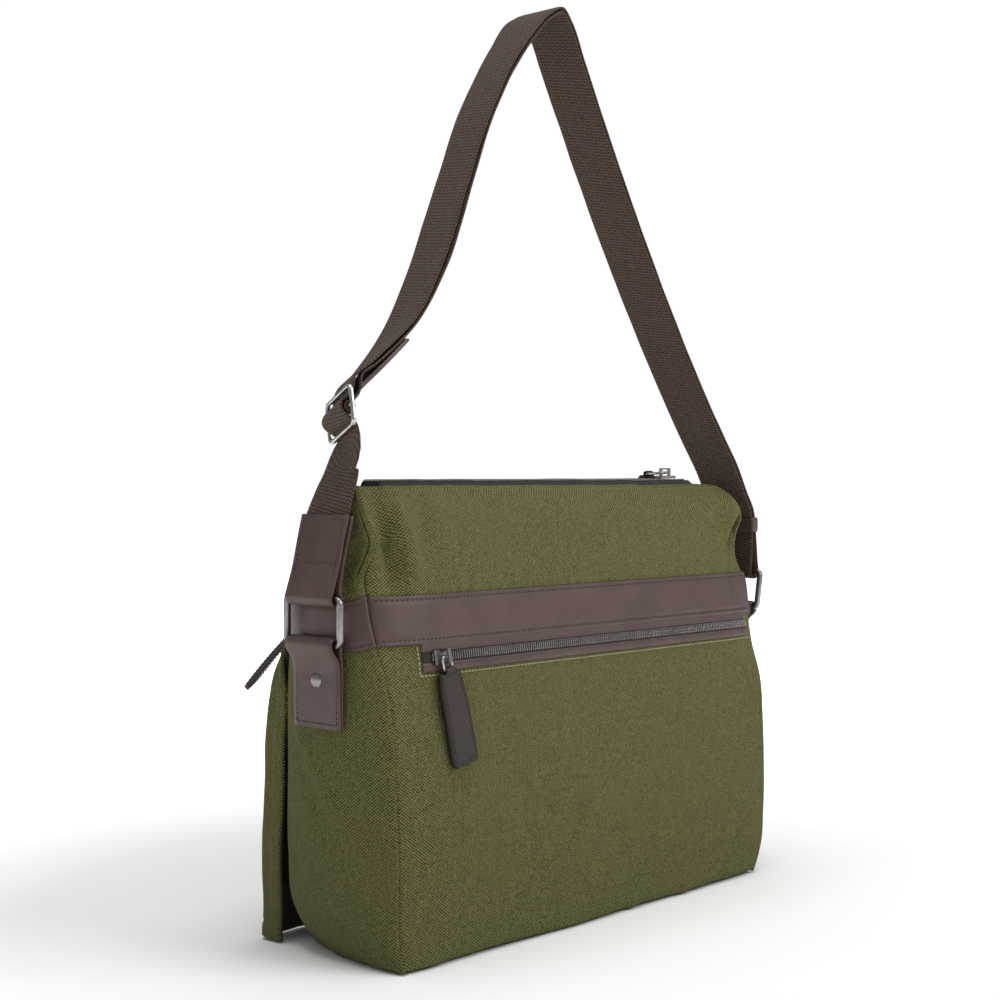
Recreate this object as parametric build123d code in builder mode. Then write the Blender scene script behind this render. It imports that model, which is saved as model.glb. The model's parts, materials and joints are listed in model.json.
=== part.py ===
from build123d import *
import math
import os

os.makedirs("parts", exist_ok=True)

# Messenger bag, millimetres. +X is the side with the strap adjuster, +Y the back
# panel with its zip pocket, -Y the front flap, +Z up. Origin on the base.

# Driving dimensions of the bag body
WIDTH = 360.0
HEIGHT = 290.0
CANVAS = 1.8
LINING = 0.6
LEATHER = 1.6
GAP = 0.4
BULGE_NEAR = 14.0
BULGE_FAR = 30.0
BULGE_TOP = 2.0
BULGE_START = 26.0
DRAW_IN_Z = 230.0
SIDES = (("near", 1, BULGE_NEAR), ("far", -1, BULGE_FAR))

# Side profile of the bag: height, back surface, front surface
PROFILE = [
    (0.0, 50.0, -38.0),
    (26.0, 50.0, -52.0),
    (100.0, 47.0, -52.0),
    (180.0, 39.0, -51.0),
    (262.0, 23.0, -36.0),
    (HEIGHT, 6.0, -18.0),
]

# Leather band round the body
BAND_LOW = 192.0
BAND_HIGH = 222.0

# Back zip pocket, under the band
BACK_ZIP_Z = 184.5
BACK_ZIP_HALF = 7.0
BACK_ZIP_FROM = -168.0
BACK_ZIP_TO = 155.0
TAPE = 0.8
COIL_R = 1.6
COIL_APART = 1.0

# Front zip, in the front band
FRONT_ZIP_Z = 207.0
FRONT_ZIP_HALF = 6.0

# Top mouth
MOUTH_HALF = 5.0
MOUTH_Y = -6.0
TOP_TAPE_LOW = 279.0
TOP_TAPE_HIGH = 293.0
TOP_X = 160.0

# Zip sliders and pulls
SLIDER_L = 15.0
SLIDER_W = 9.0
SLIDER_T = 2.2
PULL_L = 58.0
PULL_W = 24.0
PULL_T = 4.0
PULL_NECK = 13.0
BRIDGE_HIGH = 4.4
BRIDGE_WALL = 1.2
WIRE_R = 0.9
LINK_W = 9.0
LINK_L = 10.5
TOP_LINK_L = 17.0
BACK_PULL_TILT = math.radians(9)
FRONT_ZIP_END = 5.0
FRONT_EYE_SHIFT = 0.5
FRONT_PULL_AXIS = (0.849, 0.4515, -0.2743)
FRONT_PULL_FACE = (0.508, -0.554, 0.6607)
TOP_LINK_DIP = math.radians(4)
TOP_PULL_LEAN = math.radians(33)

# Front pocket and flap
POCKET_X = 150.0
POCKET_TOP = 150.0
POCKET_LOW = 14.0
POCKET_DEEP = 18.0
FLAP_ROOT_Y = -55.0
FLAP_ROOT_Z = 189.5
FLAP_X = 181.0
FLAP_T = 2.2
MAGNET_R = 9.0
MAGNET_T = 1.6
MAGNET_X = 100.0
MAGNET_Z = 60.0

# Side tabs and rings
TAB_W = 42.0
TAB_T = 3.2
RING_WIRE = 1.6
RING_Y = -8.0
FAR_RING_Y = 0.0
RING_HALF_W = 25.5
RING_LOW = 194.0
RING_HIGH = 222.0
EYE_R = 3.8
LOWER_TAB_LOW = 143.0
UPPER_TAB_HIGH = 271.0
RIVET_R = 4.6
RIVET_Z = 172.0
RIVET_CAP = 1.8
UPPER_TAB_X = 190.5
FAR_LEAD_X = 226.9
FAR_LEAD_TOP_X = 205.0
NEAR_RING_X = 202.0
FAR_RING_X = 222.0
FAR_RING_LEAN = 10.0

# Strap webbing
WEB_W = 38.0
WEB_T = 1.8
WEB_APART = 2.8
STRAP_PIVOT_Z = 290.0
STRAP_FROM = 301.0
KEEPER_LOW = 252.0
KEEPER_H = 11.0
KEEPER_TRAVEL = 10.0

# Adjuster on the near leg
BUCKLE_W = 47.0
BUCKLE_H = 28.0
BUCKLE_WIRE = 1.6
BUCKLE_AT = (180.0, -8.0, 333.0)
BUCKLE_BAR = (0.376, 0.888, 0.267)
TIP_T = 2.0
WRAP_R = 2.2
WRAP_END_N = -9.5
WRAP_END_U = 18.0


def save(part, name):
    part.label = name
    export_step(part, f"parts/{name}.step")


def back_at(z):
    return along(z, 1)


def front_at(z):
    return along(z, 2)


def along(z, column):
    for low, high in zip(PROFILE, PROFILE[1:]):
        if low[0] <= z <= high[0]:
            share = (z - low[0]) / (high[0] - low[0])
            return low[column] + share * (high[column] - low[column])
    return PROFILE[-1][column]


def wall_points(low, high, column, inner, outer):
    """Outline in (y, z) of a wall that follows the profile between two depths under its surface."""
    heights = [low] + [row[0] for row in PROFILE if low < row[0] < high] + [high]
    inward = -1 if column == 1 else 1
    outside = [(along(z, column) + inward * outer, z) for z in heights]
    inside = [(along(z, column) + inward * inner, z) for z in reversed(heights)]
    return outside + inside


def yz_plane(x):
    """Plane whose local x is +Y and local y is +Z, at a given X, normal +X."""
    return Plane(origin=(x, 0, 0), x_dir=(0, 1, 0), z_dir=(1, 0, 0))


# ---------------------------------------------------------------- canvas body
half = WIDTH / 2

with BuildPart() as back_panel:
    with BuildSketch(yz_plane(-half)):
        with BuildLine():
            Polyline(*wall_points(0, HEIGHT, 1, CANVAS, 0), close=True)
        make_face()
    extrude(amount=WIDTH)
    # Window of the zip pocket
    with BuildSketch(Plane.XZ.offset(-80)):
        with Locations(((BACK_ZIP_FROM + BACK_ZIP_TO) / 2, BACK_ZIP_Z)):
            Rectangle(BACK_ZIP_TO - BACK_ZIP_FROM, 2 * BACK_ZIP_HALF)
    extrude(amount=60, mode=Mode.SUBTRACT)
save(back_panel.part, "back_panel")

with BuildPart() as front_panel:
    with BuildSketch(yz_plane(-half)):
        with BuildLine():
            Polyline(*wall_points(0, HEIGHT, 2, CANVAS, 0), close=True)
        make_face()
    extrude(amount=WIDTH)
    with BuildSketch(Plane.XZ.offset(60)):
        with Locations((0, FRONT_ZIP_Z)):
            Rectangle(WIDTH - 2 * FRONT_ZIP_END, 2 * FRONT_ZIP_HALF)
    extrude(amount=-30, mode=Mode.SUBTRACT)
save(front_panel.part, "front_panel")

with BuildPart() as base_panel:
    with BuildSketch(Plane.XY):
        with Locations((0, (back_at(0) + front_at(0)) / 2)):
            Rectangle(WIDTH - 4 * CANVAS, back_at(0) - front_at(0) - 2 * CANVAS - GAP)
    extrude(amount=CANVAS)
save(base_panel.part, "base_panel")

# Gussets bulge outwards between the two seams and close to flat at the top


def gusset_plan(bulge, skin):
    """Plan outline (x, y) of a bulged side wall on the +X side."""
    back = PROFILE[1][1]
    front = PROFILE[1][2]
    outer = [
        (half, front),
        (half + bulge, front + BULGE_START),
        (half + bulge, back - BULGE_START),
        (half, back),
    ]
    inner = [(x - skin, y) for x, y in reversed(outer)]
    return outer + inner


def side_region():
    """Slab that trims a side wall to the side profile, between the two panels."""
    inset = CANVAS + GAP
    back = [(back_at(row[0]) - inset, row[0]) for row in PROFILE]
    front = [(front_at(row[0]) + inset, row[0]) for row in reversed(PROFILE)]
    return back + front


def side_wall(side, bulge, skin, out, low, high):
    """Bulged wall of one side between two heights, standing a little out from the canvas."""
    with BuildPart() as piece:
        for z, swell in ((low, bulge), (min(high, DRAW_IN_Z), bulge)):
            with BuildSketch(Plane.XY.offset(z)):
                with BuildLine():
                    plan = gusset_plan(swell, skin)
                    Polyline(*[(side * (x + out), y) for x, y in plan], close=True)
                make_face()
        loft(ruled=True)
        if high > DRAW_IN_Z:
            for z, swell in ((DRAW_IN_Z, bulge), (high, BULGE_TOP)):
                with BuildSketch(Plane.XY.offset(z)):
                    with BuildLine():
                        plan = gusset_plan(swell, skin)
                        Polyline(*[(side * (x + out), y) for x, y in plan], close=True)
                    make_face()
            loft(ruled=True)
        with BuildSketch(yz_plane(side * (half - 10))):
            with BuildLine():
                Polyline(*side_region(), close=True)
            make_face()
        extrude(amount=side * 60, mode=Mode.INTERSECT)
    return piece


for name, side, bulge in SIDES:
    gusset = side_wall(side, bulge, CANVAS, GAP / 2, 0, HEIGHT - 2)
    save(gusset.part, f"gusset_{name}")

# Lining: one sewn bag inside the canvas, open at the top
with BuildPart() as lining:
    outer_back = [(back_at(row[0]) - CANVAS - GAP, max(row[0], CANVAS + GAP)) for row in PROFILE]
    outer_front = [(front_at(row[0]) + CANVAS + GAP, max(row[0], CANVAS + GAP)) for row in reversed(PROFILE)]
    with BuildSketch(yz_plane(-half + 6)):
        with BuildLine():
            Polyline(*(outer_back[:-1] + outer_front[1:]), close=True)
        make_face()
    extrude(amount=WIDTH - 12)
    depth = CANVAS + GAP + LINING
    inner_back = [(back_at(row[0]) - depth, max(row[0], depth)) for row in PROFILE[:-1]]
    inner_front = [(front_at(row[0]) + depth, max(row[0], depth)) for row in reversed(PROFILE[:-1])]
    top_back = (inner_back[-1][0], HEIGHT)
    top_front = (inner_front[0][0], HEIGHT)
    with BuildSketch(yz_plane(-half + 6 + LINING)):
        with BuildLine():
            Polyline(*(inner_back + [top_back, top_front] + inner_front), close=True)
        make_face()
    extrude(amount=WIDTH - 12 - 2 * LINING, mode=Mode.SUBTRACT)
save(lining.part, "lining")

# ---------------------------------------------------------------- leather band
with BuildPart() as band_back:
    with BuildSketch(yz_plane(-half)):
        with BuildLine():
            Polyline(*wall_points(BAND_LOW, BAND_HIGH, 1, -GAP / 4, -GAP / 4 - LEATHER), close=True)
        make_face()
    extrude(amount=WIDTH)
save(band_back.part, "band_back")

with BuildPart() as band_front:
    with BuildSketch(yz_plane(-half)):
        with BuildLine():
            Polyline(*wall_points(BAND_LOW, BAND_HIGH, 2, -GAP / 4, -GAP / 4 - LEATHER), close=True)
        make_face()
    extrude(amount=WIDTH)
    with BuildSketch(Plane.XZ.offset(60)):
        with Locations((0, FRONT_ZIP_Z)):
            Rectangle(WIDTH - 2 * FRONT_ZIP_END, 2 * FRONT_ZIP_HALF)
    extrude(amount=-30, mode=Mode.SUBTRACT)
save(band_front.part, "band_front")

for name, side, bulge in SIDES:
    band_side = side_wall(side, bulge, LEATHER, LEATHER + GAP + GAP / 2, BAND_LOW, BAND_HIGH)
    save(band_side.part, f"band_{name}")

# ---------------------------------------------------------------- zips
def slope_plane(x, z, column, lift):
    """Plane on the back or front surface: local y runs up the slope, local z outwards."""
    step = 2.0
    low = Vector(0, along(z - step, column), z - step)
    high = Vector(0, along(z + step, column), z + step)
    up = (high - low).normalized()
    across = Vector(-1, 0, 0) if column == 1 else Vector(1, 0, 0)
    outward = across.cross(up)
    centre = Vector(x, along(z, column), z) + outward * lift
    return Plane(origin=centre, x_dir=across, z_dir=outward)


def tape(plane, length, half_width):
    """Two woven tapes side by side, with a slit between them."""
    each = half_width - COIL_APART / 2
    middle = (half_width + COIL_APART / 2) / 2
    with BuildPart() as piece:
        with BuildSketch(plane):
            with Locations((0, middle), (0, -middle)):
                Rectangle(length, each)
        extrude(amount=TAPE)
    return piece


def coil(plane, length):
    """The two coil rows, meshed side by side."""
    with BuildPart() as piece:
        with BuildSketch(plane):
            with Locations((0, COIL_R + GAP / 4), (0, -COIL_R - GAP / 4)):
                Rectangle(length, 2 * COIL_R)
        extrude(amount=COIL_R)
    return piece


def slider(plane, nose):
    """Slider body with a wide nose, and the arched bridge that its link passes under."""
    tail_half = SLIDER_W / 2 - 1.6
    with BuildPart() as piece:
        with BuildSketch(plane):
            with BuildLine():
                Polyline(
                    (nose * SLIDER_L / 2, SLIDER_W / 2),
                    (-nose * SLIDER_L / 2, tail_half),
                    (-nose * SLIDER_L / 2, -tail_half),
                    (nose * SLIDER_L / 2, -SLIDER_W / 2),
                    close=True,
                )
            make_face()
        extrude(amount=SLIDER_T)
        with BuildSketch(plane.offset(SLIDER_T)):
            Rectangle(2 * BRIDGE_WALL, SLIDER_W)
        extrude(amount=BRIDGE_HIGH + BRIDGE_WALL)
        with BuildSketch(plane.offset(SLIDER_T)):
            Rectangle(4 * BRIDGE_WALL, SLIDER_W - 2.5 * BRIDGE_WALL)
        extrude(amount=BRIDGE_HIGH, mode=Mode.SUBTRACT)
    return piece


def link(plane, width, length, wire):
    """Rounded rectangle of wire in the plane, its top bar along the plane's local x axis."""
    x = width / 2 - wire
    y = 2 * wire - length
    with BuildPart() as piece:
        with BuildLine(plane) as path:
            FilletPolyline((x, 0), (x, y), (-x, y), (-x, 0), radius=2 * wire, close=True)
        with BuildSketch(Plane(origin=path.line @ 0, z_dir=path.line % 0)):
            Circle(wire)
        sweep()
    return piece


def pull(plane, drop):
    """Stitched leather tab that hangs along local -y and is folded round a link's lower bar."""
    bar = 2 * WIRE_R - drop
    top = bar - 1.5 * WIRE_R
    low = top - PULL_L
    fold = 2.4 * WIRE_R
    with BuildPart() as piece:
        with BuildSketch(plane):
            with BuildLine():
                Polyline(
                    (-PULL_NECK / 2, top),
                    (-PULL_W / 2, top - PULL_L / 3),
                    (-PULL_W / 2, low + PULL_T),
                    (PULL_T - PULL_W / 2, low),
                    (PULL_W / 2 - PULL_T, low),
                    (PULL_W / 2, low + PULL_T),
                    (PULL_W / 2, top - PULL_L / 3),
                    (PULL_NECK / 2, top),
                    close=True,
                )
            make_face()
        extrude(amount=PULL_T / 2, both=True)
        centre = plane.from_local_coords(Vector(0, bar, 0))
        with BuildSketch(Plane(origin=centre, x_dir=plane.y_dir, z_dir=plane.x_dir)):
            Circle(fold)
        extrude(amount=LINK_W / 2 - 2.4 * WIRE_R, both=True)
        with BuildSketch(Plane(origin=centre, x_dir=plane.y_dir, z_dir=plane.x_dir)):
            Circle(WIRE_R + GAP / 4)
        extrude(amount=LINK_W, both=True, mode=Mode.SUBTRACT)
    return piece


# Back zip, in its window just under the band
back_length = BACK_ZIP_TO - BACK_ZIP_FROM - 1
back_mid = (BACK_ZIP_FROM + BACK_ZIP_TO) / 2
back_tape = tape(slope_plane(back_mid, BACK_ZIP_Z, 1, -CANVAS), back_length, BACK_ZIP_HALF - GAP)
save(back_tape.part, "back_zip_tape")
back_coil = coil(slope_plane(back_mid, BACK_ZIP_Z, 1, TAPE + GAP / 4 - CANVAS), back_length - SLIDER_L)
save(back_coil.part, "back_zip_coil")
back_slider_x = BACK_ZIP_TO - SLIDER_L
back_lift = TAPE + COIL_R + GAP - CANVAS
back_slider = slider(slope_plane(back_slider_x, BACK_ZIP_Z, 1, back_lift), -1)
save(back_slider.part, "back_zip_slider")
back_eye = slope_plane(back_slider_x, BACK_ZIP_Z, 1, back_lift + SLIDER_T + BRIDGE_HIGH / 2)
back_fall = Vector(0, back_at(100) - back_at(180), -80).normalized()
back_face = Vector(-1, 0, 0).cross(back_fall * -1)
tilt_x = Vector(-1, 0, 0) * math.cos(BACK_PULL_TILT) - back_fall * math.sin(BACK_PULL_TILT)
back_hang = Plane(origin=back_eye.origin, x_dir=tilt_x, z_dir=back_face)
back_link = link(back_hang, LINK_W, LINK_L, WIRE_R)
save(back_link.part, "back_zip_link")
back_pull = pull(back_hang, LINK_L)
save(back_pull.part, "back_zip_pull")

# Pocket bag behind the back zip
with BuildPart() as back_pocket_bag:
    for depth, grow, mode in ((4.6, 0.0, Mode.ADD), (5.2, LINING, Mode.SUBTRACT)):
        inner = depth + 2.4 - 2 * grow
        with BuildSketch(yz_plane(grow - half + 20)):
            with BuildLine():
                points = wall_points(40 + grow, BACK_ZIP_Z - 12 - grow, 1, inner, depth)
                Polyline(*points, close=True)
            make_face()
        extrude(amount=WIDTH - 40 - 2 * grow, mode=mode)
save(back_pocket_bag.part, "back_pocket_bag")

# Front zip, in a slot of the front band
front_length = WIDTH - 2 * FRONT_ZIP_END - 1
front_tape = tape(slope_plane(0, FRONT_ZIP_Z, 2, -CANVAS), front_length, FRONT_ZIP_HALF - GAP)
save(front_tape.part, "front_zip_tape")
front_coil = coil(slope_plane(0, FRONT_ZIP_Z, 2, TAPE + GAP / 4 - CANVAS), front_length - SLIDER_L)
save(front_coil.part, "front_zip_coil")
front_slider_x = half - FRONT_ZIP_END - SLIDER_L / 2 - 1
front_slider = slider(slope_plane(front_slider_x, FRONT_ZIP_Z, 2, back_lift), 1)
save(front_slider.part, "front_zip_slider")
front_eye_x = front_slider_x - FRONT_EYE_SHIFT
front_eye = slope_plane(front_eye_x, FRONT_ZIP_Z, 2, back_lift + SLIDER_T + BRIDGE_HIGH / 2)
front_hang = Plane(origin=front_eye.origin, x_dir=FRONT_PULL_AXIS, z_dir=FRONT_PULL_FACE)
front_link = link(front_hang, LINK_W, LINK_L, WIRE_R)
save(front_link.part, "front_zip_link")
front_pull = pull(front_hang, LINK_L)
save(front_pull.part, "front_zip_pull")

# Top zip, open, its two tapes standing along the mouth
for name, sign in (("back", 1), ("front", -1)):
    edge = MOUTH_Y + sign * MOUTH_HALF
    with BuildPart() as top_tape:
        with BuildSketch(yz_plane(-TOP_X)):
            with Locations((edge + sign * TAPE / 2, (TOP_TAPE_LOW + TOP_TAPE_HIGH) / 2)):
                Rectangle(TAPE, TOP_TAPE_HIGH - TOP_TAPE_LOW)
        extrude(amount=2 * TOP_X)
    save(top_tape.part, f"top_zip_tape_{name}")
with BuildPart() as top_coil:
    with BuildSketch(yz_plane(-TOP_X + SLIDER_L)):
        with Locations(*[(MOUTH_Y + s * (MOUTH_HALF + COIL_R), TOP_TAPE_HIGH + COIL_R) for s in (1, -1)]):
            Rectangle(2 * COIL_R, 2 * COIL_R - GAP / 4)
    extrude(amount=2 * TOP_X - 2 * SLIDER_L)
save(top_coil.part, "top_zip_coil")
top_slider_x = SLIDER_L - TOP_X
top_plane = Plane(origin=(top_slider_x, MOUTH_Y, TOP_TAPE_HIGH + GAP), x_dir=(1, 0, 0), z_dir=(0, 0, 1))
top_slider = slider(top_plane, -1)
save(top_slider.part, "top_zip_slider")
top_eye = (top_slider_x, MOUTH_Y, TOP_TAPE_HIGH + GAP + SLIDER_T + BRIDGE_HIGH / 2)
top_lay = Plane(origin=top_eye, x_dir=(1, 0, 0), z_dir=(0, -math.sin(TOP_LINK_DIP), math.cos(TOP_LINK_DIP)))
top_link = link(top_lay, LINK_W, TOP_LINK_L, WIRE_R)
save(top_link.part, "top_zip_link")
top_bar = top_lay.from_local_coords(Vector(0, 2 * WIRE_R - TOP_LINK_L, 0))
top_face = (0, -math.cos(TOP_PULL_LEAN), math.sin(TOP_PULL_LEAN))
top_hang = Plane(origin=top_bar, x_dir=(1, 0, 0), z_dir=top_face)
top_pull = pull(top_hang, 2 * WIRE_R)
save(top_pull.part, "top_zip_pull")

# ---------------------------------------------------------------- front pocket and flap
pocket_back = front_at(100) - GAP
with BuildPart() as front_pocket:
    with BuildSketch(Plane.XZ.offset(-pocket_back)):
        with Locations((0, (POCKET_LOW + POCKET_TOP) / 2)):
            Rectangle(2 * POCKET_X, POCKET_TOP - POCKET_LOW)
    extrude(amount=POCKET_DEEP)
    with BuildSketch(Plane.XZ.offset(-pocket_back + CANVAS)):
        with Locations((0, (POCKET_LOW + POCKET_TOP) / 2 + 2 * CANVAS)):
            Rectangle(2 * POCKET_X - 2 * CANVAS, POCKET_TOP - POCKET_LOW)
    extrude(amount=POCKET_DEEP - 2 * CANVAS, mode=Mode.SUBTRACT)
save(front_pocket.part, "front_pocket")

FLAP_LINE = [
    (FLAP_ROOT_Y, FLAP_ROOT_Z),
    (-70.0, 158.0),
    (-76.0, 100.0),
    (-79.0, 4.0),
]


def flap_layer(outer, inner, x_half, top, bottom):
    """One layer of the flap between two depths outside its inner line."""
    points = [(y - outer, z) for y, z in FLAP_LINE] + [(y - inner, z) for y, z in reversed(FLAP_LINE)]
    with BuildPart() as piece:
        with BuildSketch(yz_plane(-x_half)):
            with BuildLine():
                Polyline(*points, close=True)
            make_face()
        extrude(amount=2 * x_half)
        with BuildSketch(Plane.XZ.offset(120)):
            with Locations((0, (top + bottom) / 2)):
                Rectangle(3 * x_half, top - bottom)
        extrude(amount=-80, mode=Mode.INTERSECT)
    return piece


flap = flap_layer(FLAP_T + LINING + GAP, LINING + GAP, FLAP_X, FLAP_ROOT_Z, 4)
save(flap.part, "flap")
flap_lining = flap_layer(LINING, 0, FLAP_X - 6, FLAP_ROOT_Z - 6, 10)
save(flap_lining.part, "flap_lining")

with BuildPart() as pocket_magnets:
    with BuildSketch(Plane.XZ.offset(-pocket_back + POCKET_DEEP + GAP / 4)):
        with Locations((MAGNET_X, MAGNET_Z), (-MAGNET_X, MAGNET_Z)):
            Circle(MAGNET_R)
    extrude(amount=MAGNET_T)
save(pocket_magnets.part, "pocket_magnets")
with BuildPart() as flap_magnets:
    with BuildSketch(Plane.XZ.offset(-pocket_back + POCKET_DEEP + GAP + MAGNET_T)):
        with Locations((MAGNET_X, MAGNET_Z), (-MAGNET_X, MAGNET_Z)):
            Circle(MAGNET_R)
    extrude(amount=MAGNET_T)
save(flap_magnets.part, "flap_magnets")


# ---------------------------------------------------------------- side tabs and rings
def xz_plane(side, y):
    """Plane whose local x points outwards on one side, local y up."""
    return Plane(origin=(0, y, 0), x_dir=(side, 0, 0), z_dir=(0, -side, 0))


def ring_top(side, ring_x):
    lean = math.radians(FAR_RING_LEAN) if side < 0 else 0.0
    reach = RING_HIGH - RING_LOW
    return ring_x + reach * math.sin(lean), RING_LOW + reach * math.cos(lean)


RINGS = (
    ("near", 1, NEAR_RING_X, RING_Y, BULGE_NEAR),
    ("far", -1, FAR_RING_X, FAR_RING_Y, BULGE_FAR),
)
for name, side, ring_x, ring_y, bulge in RINGS:
    top_x, top_z = ring_top(side, ring_x)
    face_x = half + bulge + 2 * GAP
    # Lower tab: folded round the ring's lower bar, stitched and riveted to the side wall
    with BuildPart() as lower_tab:
        with BuildSketch(xz_plane(side, ring_y)):
            with BuildLine():
                Polyline(
                    (face_x, LOWER_TAB_LOW),
                    (face_x + TAB_T, LOWER_TAB_LOW),
                    (face_x + TAB_T, BAND_LOW - 12),
                    (ring_x + 2, RING_LOW - EYE_R),
                    (ring_x - 3, RING_LOW - EYE_R),
                    (face_x, BAND_LOW - 10),
                    close=True,
                )
            make_face()
            with Locations((ring_x, RING_LOW)):
                Circle(EYE_R + LEATHER)
                Circle(EYE_R, mode=Mode.SUBTRACT)
        extrude(amount=TAB_W / 2, both=True)
    save(lower_tab.part, f"tab_lower_{name}")

    # Rectangular ring
    ring_plane = Plane(
        origin=(side * top_x, ring_y, top_z),
        x_dir=(0, side, 0),
        z_dir=(side * (top_z - RING_LOW), 0, -(top_x - ring_x)),
    )
    ring = link(ring_plane, 2 * RING_HALF_W, RING_HIGH - RING_LOW + 2 * RING_WIRE, RING_WIRE)
    save(ring.part, f"ring_{name}")

with BuildPart() as rivets:
    for name, side, ring_x, ring_y, bulge in RINGS:
        face_x = half + bulge + 2 * GAP + TAB_T + GAP / 4
        with BuildSketch(yz_plane(side * face_x)):
            with Locations((ring_y, RIVET_Z)):
                Circle(RIVET_R)
        extrude(amount=side * RIVET_CAP)
save(rivets.part, "rivets")

# Upper tab: folded leather round the near ring's top bar, with the webbing sewn between
tab_top = Vector(UPPER_TAB_X, UPPER_TAB_HIGH)
tab_low = Vector(NEAR_RING_X, RING_HIGH + EYE_R)
tab_dir = (tab_top - tab_low).normalized()
tab_side = Vector(tab_dir.Y, -tab_dir.X)


def strip(low, high, half_thick):
    """Corners of a thin strip between two points of the (x, z) side view."""
    across = tab_side * half_thick
    return [
        tuple(low - across)[:2],
        tuple(low + across)[:2],
        tuple(high + across)[:2],
        tuple(high - across)[:2],
    ]


with BuildPart() as upper_tab:
    with BuildSketch(xz_plane(1, RING_Y)):
        with BuildLine():
            Polyline(*strip(tab_low, tab_top, WEB_T / 2 + LEATHER + GAP / 4), close=True)
        make_face()
        with Locations((NEAR_RING_X, RING_HIGH)):
            Circle(EYE_R + LEATHER)
            Circle(EYE_R, mode=Mode.SUBTRACT)
        with BuildLine():
            slot_low = tab_low + tab_dir * 12
            Polyline(*strip(slot_low, tab_top + tab_dir * 5, WEB_T / 2 + GAP / 4), close=True)
        make_face(mode=Mode.SUBTRACT)
    extrude(amount=TAB_W / 2, both=True)
save(upper_tab.part, "tab_upper_near")


# ---------------------------------------------------------------- strap
def ribbon(stations, width, thick):
    """Flat webbing through (centre, width direction) stations, one ruled span at a time."""
    centres = [Vector(*c) for c, w in stations]
    planes = []
    for i, (c, w) in enumerate(stations):
        before = centres[max(i - 1, 0)]
        after = centres[min(i + 1, len(centres) - 1)]
        across = Vector(*w).normalized()
        run = (after - before).normalized()
        run = (run - across * run.dot(across)).normalized()
        planes.append(Plane(origin=centres[i], x_dir=across, z_dir=run))
    with BuildPart() as piece:
        for low, high in zip(planes, planes[1:]):
            with BuildSketch(low):
                Rectangle(width, thick)
            with BuildSketch(high):
                Rectangle(width, thick)
            loft(ruled=True)
    return piece


bar_w = Vector(*BUCKLE_BAR).normalized()
bar_u = (Vector(0, 0, 1) - bar_w * bar_w.Z).normalized()
bar_n = bar_w.cross(bar_u)
buckle_c = Vector(*BUCKLE_AT)


def at_buckle(n, u):
    """Point n outwards and u upwards from the centre bar's middle."""
    return tuple(buckle_c + bar_n * n + bar_u * u)


bar = tuple(bar_w)
edge_u = BUCKLE_H / 2 - BUCKLE_WIRE
under = BUCKLE_WIRE + WEB_T
over = BUCKLE_WIRE + 1.5 * WEB_T + 3 * GAP
LEAN = (0.17, 0.985, 0.0)
SQUARE = (0.0, 1.0, 0.0)

root_low = tab_low + tab_dir * 14
NEAR_LEAD = [
    ((root_low.X, RING_Y, root_low.Y), SQUARE),
    ((tab_top.X, RING_Y, tab_top.Y), SQUARE),
    ((188.6, RING_Y, 281.0), (0.05, 0.99, 0.02)),
    ((186.5, RING_Y, 292.0), (0.1, 0.99, 0.05)),
    ((183.5, RING_Y, STRAP_FROM - GAP), (0.15, 0.98, 0.1)),
]
OUTER = [
    ((183.3, RING_Y, STRAP_FROM), (0.15, 0.98, 0.1)),
    (at_buckle(-under - 0.8, -edge_u - 6), bar),
    (at_buckle(-under, -edge_u), bar),
    (at_buckle(0.6 - under, 3.2 - edge_u), bar),
    (at_buckle(over - 1.5, -4.4), bar),
    (at_buckle(over, -2.2), bar),
    (at_buckle(over, 2.2), bar),
    (at_buckle(over - 1.5, 4.4), bar),
    (at_buckle(0.6 - under, edge_u - 3.2), bar),
    (at_buckle(-under, edge_u), bar),
    (at_buckle(-under - 1.0, edge_u + 5), bar),
    ((161.0, -7.0, 363.0), (0.34, 0.91, 0.23)),
    ((132.0, -6.0, 391.0), (0.22, 0.96, 0.1)),
    ((109.0, -5.0, 430.0), LEAN),
    ((86.0, -5.0, 483.0), LEAN),
    ((62.0, -5.0, 538.0), LEAN),
    ((30.0, -5.0, 586.0), (0.1, 0.99, 0.0)),
    ((7.0, -5.0, 610.0), SQUARE),
    ((-5.0, -5.0, 617.0), SQUARE),
    ((-13.0, -5.0, 606.0), SQUARE),
    ((-27.0, -5.0, 580.0), SQUARE),
    ((-54.0, -6.0, 537.0), SQUARE),
    ((-99.0, -7.0, 463.0), SQUARE),
    ((-157.0, -4.0, 371.0), SQUARE),
    ((-FAR_LEAD_TOP_X + 2.5, FAR_RING_Y, STRAP_FROM + 4), SQUARE),
    ((-FAR_LEAD_TOP_X, FAR_RING_Y, STRAP_FROM), SQUARE),
]


def beside(stations, gap):
    """The same run, moved towards the inside of the loop."""
    moved = []
    centres = [Vector(*c) for c, w in stations]
    for i, (c, w) in enumerate(stations):
        before = centres[max(i - 1, 0)]
        after = centres[min(i + 1, len(centres) - 1)]
        normal = (after - before).cross(Vector(*w)).normalized()
        moved.append((tuple(centres[i] + normal * gap), w))
    return moved


near_lead = ribbon(NEAR_LEAD, WEB_W, WEB_T)
save(near_lead.part, "webbing_lead_near")
strap_outer = ribbon(OUTER, WEB_W, WEB_T)
save(strap_outer.part, "strap_outer")
INNER = [(at_buckle(WRAP_END_N - 0.4, WRAP_END_U + 4 * GAP), bar)] + beside(OUTER[11:], WEB_APART)
strap_inner = ribbon(INNER, WEB_W, WEB_T)
save(strap_inner.part, "strap_inner")

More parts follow.
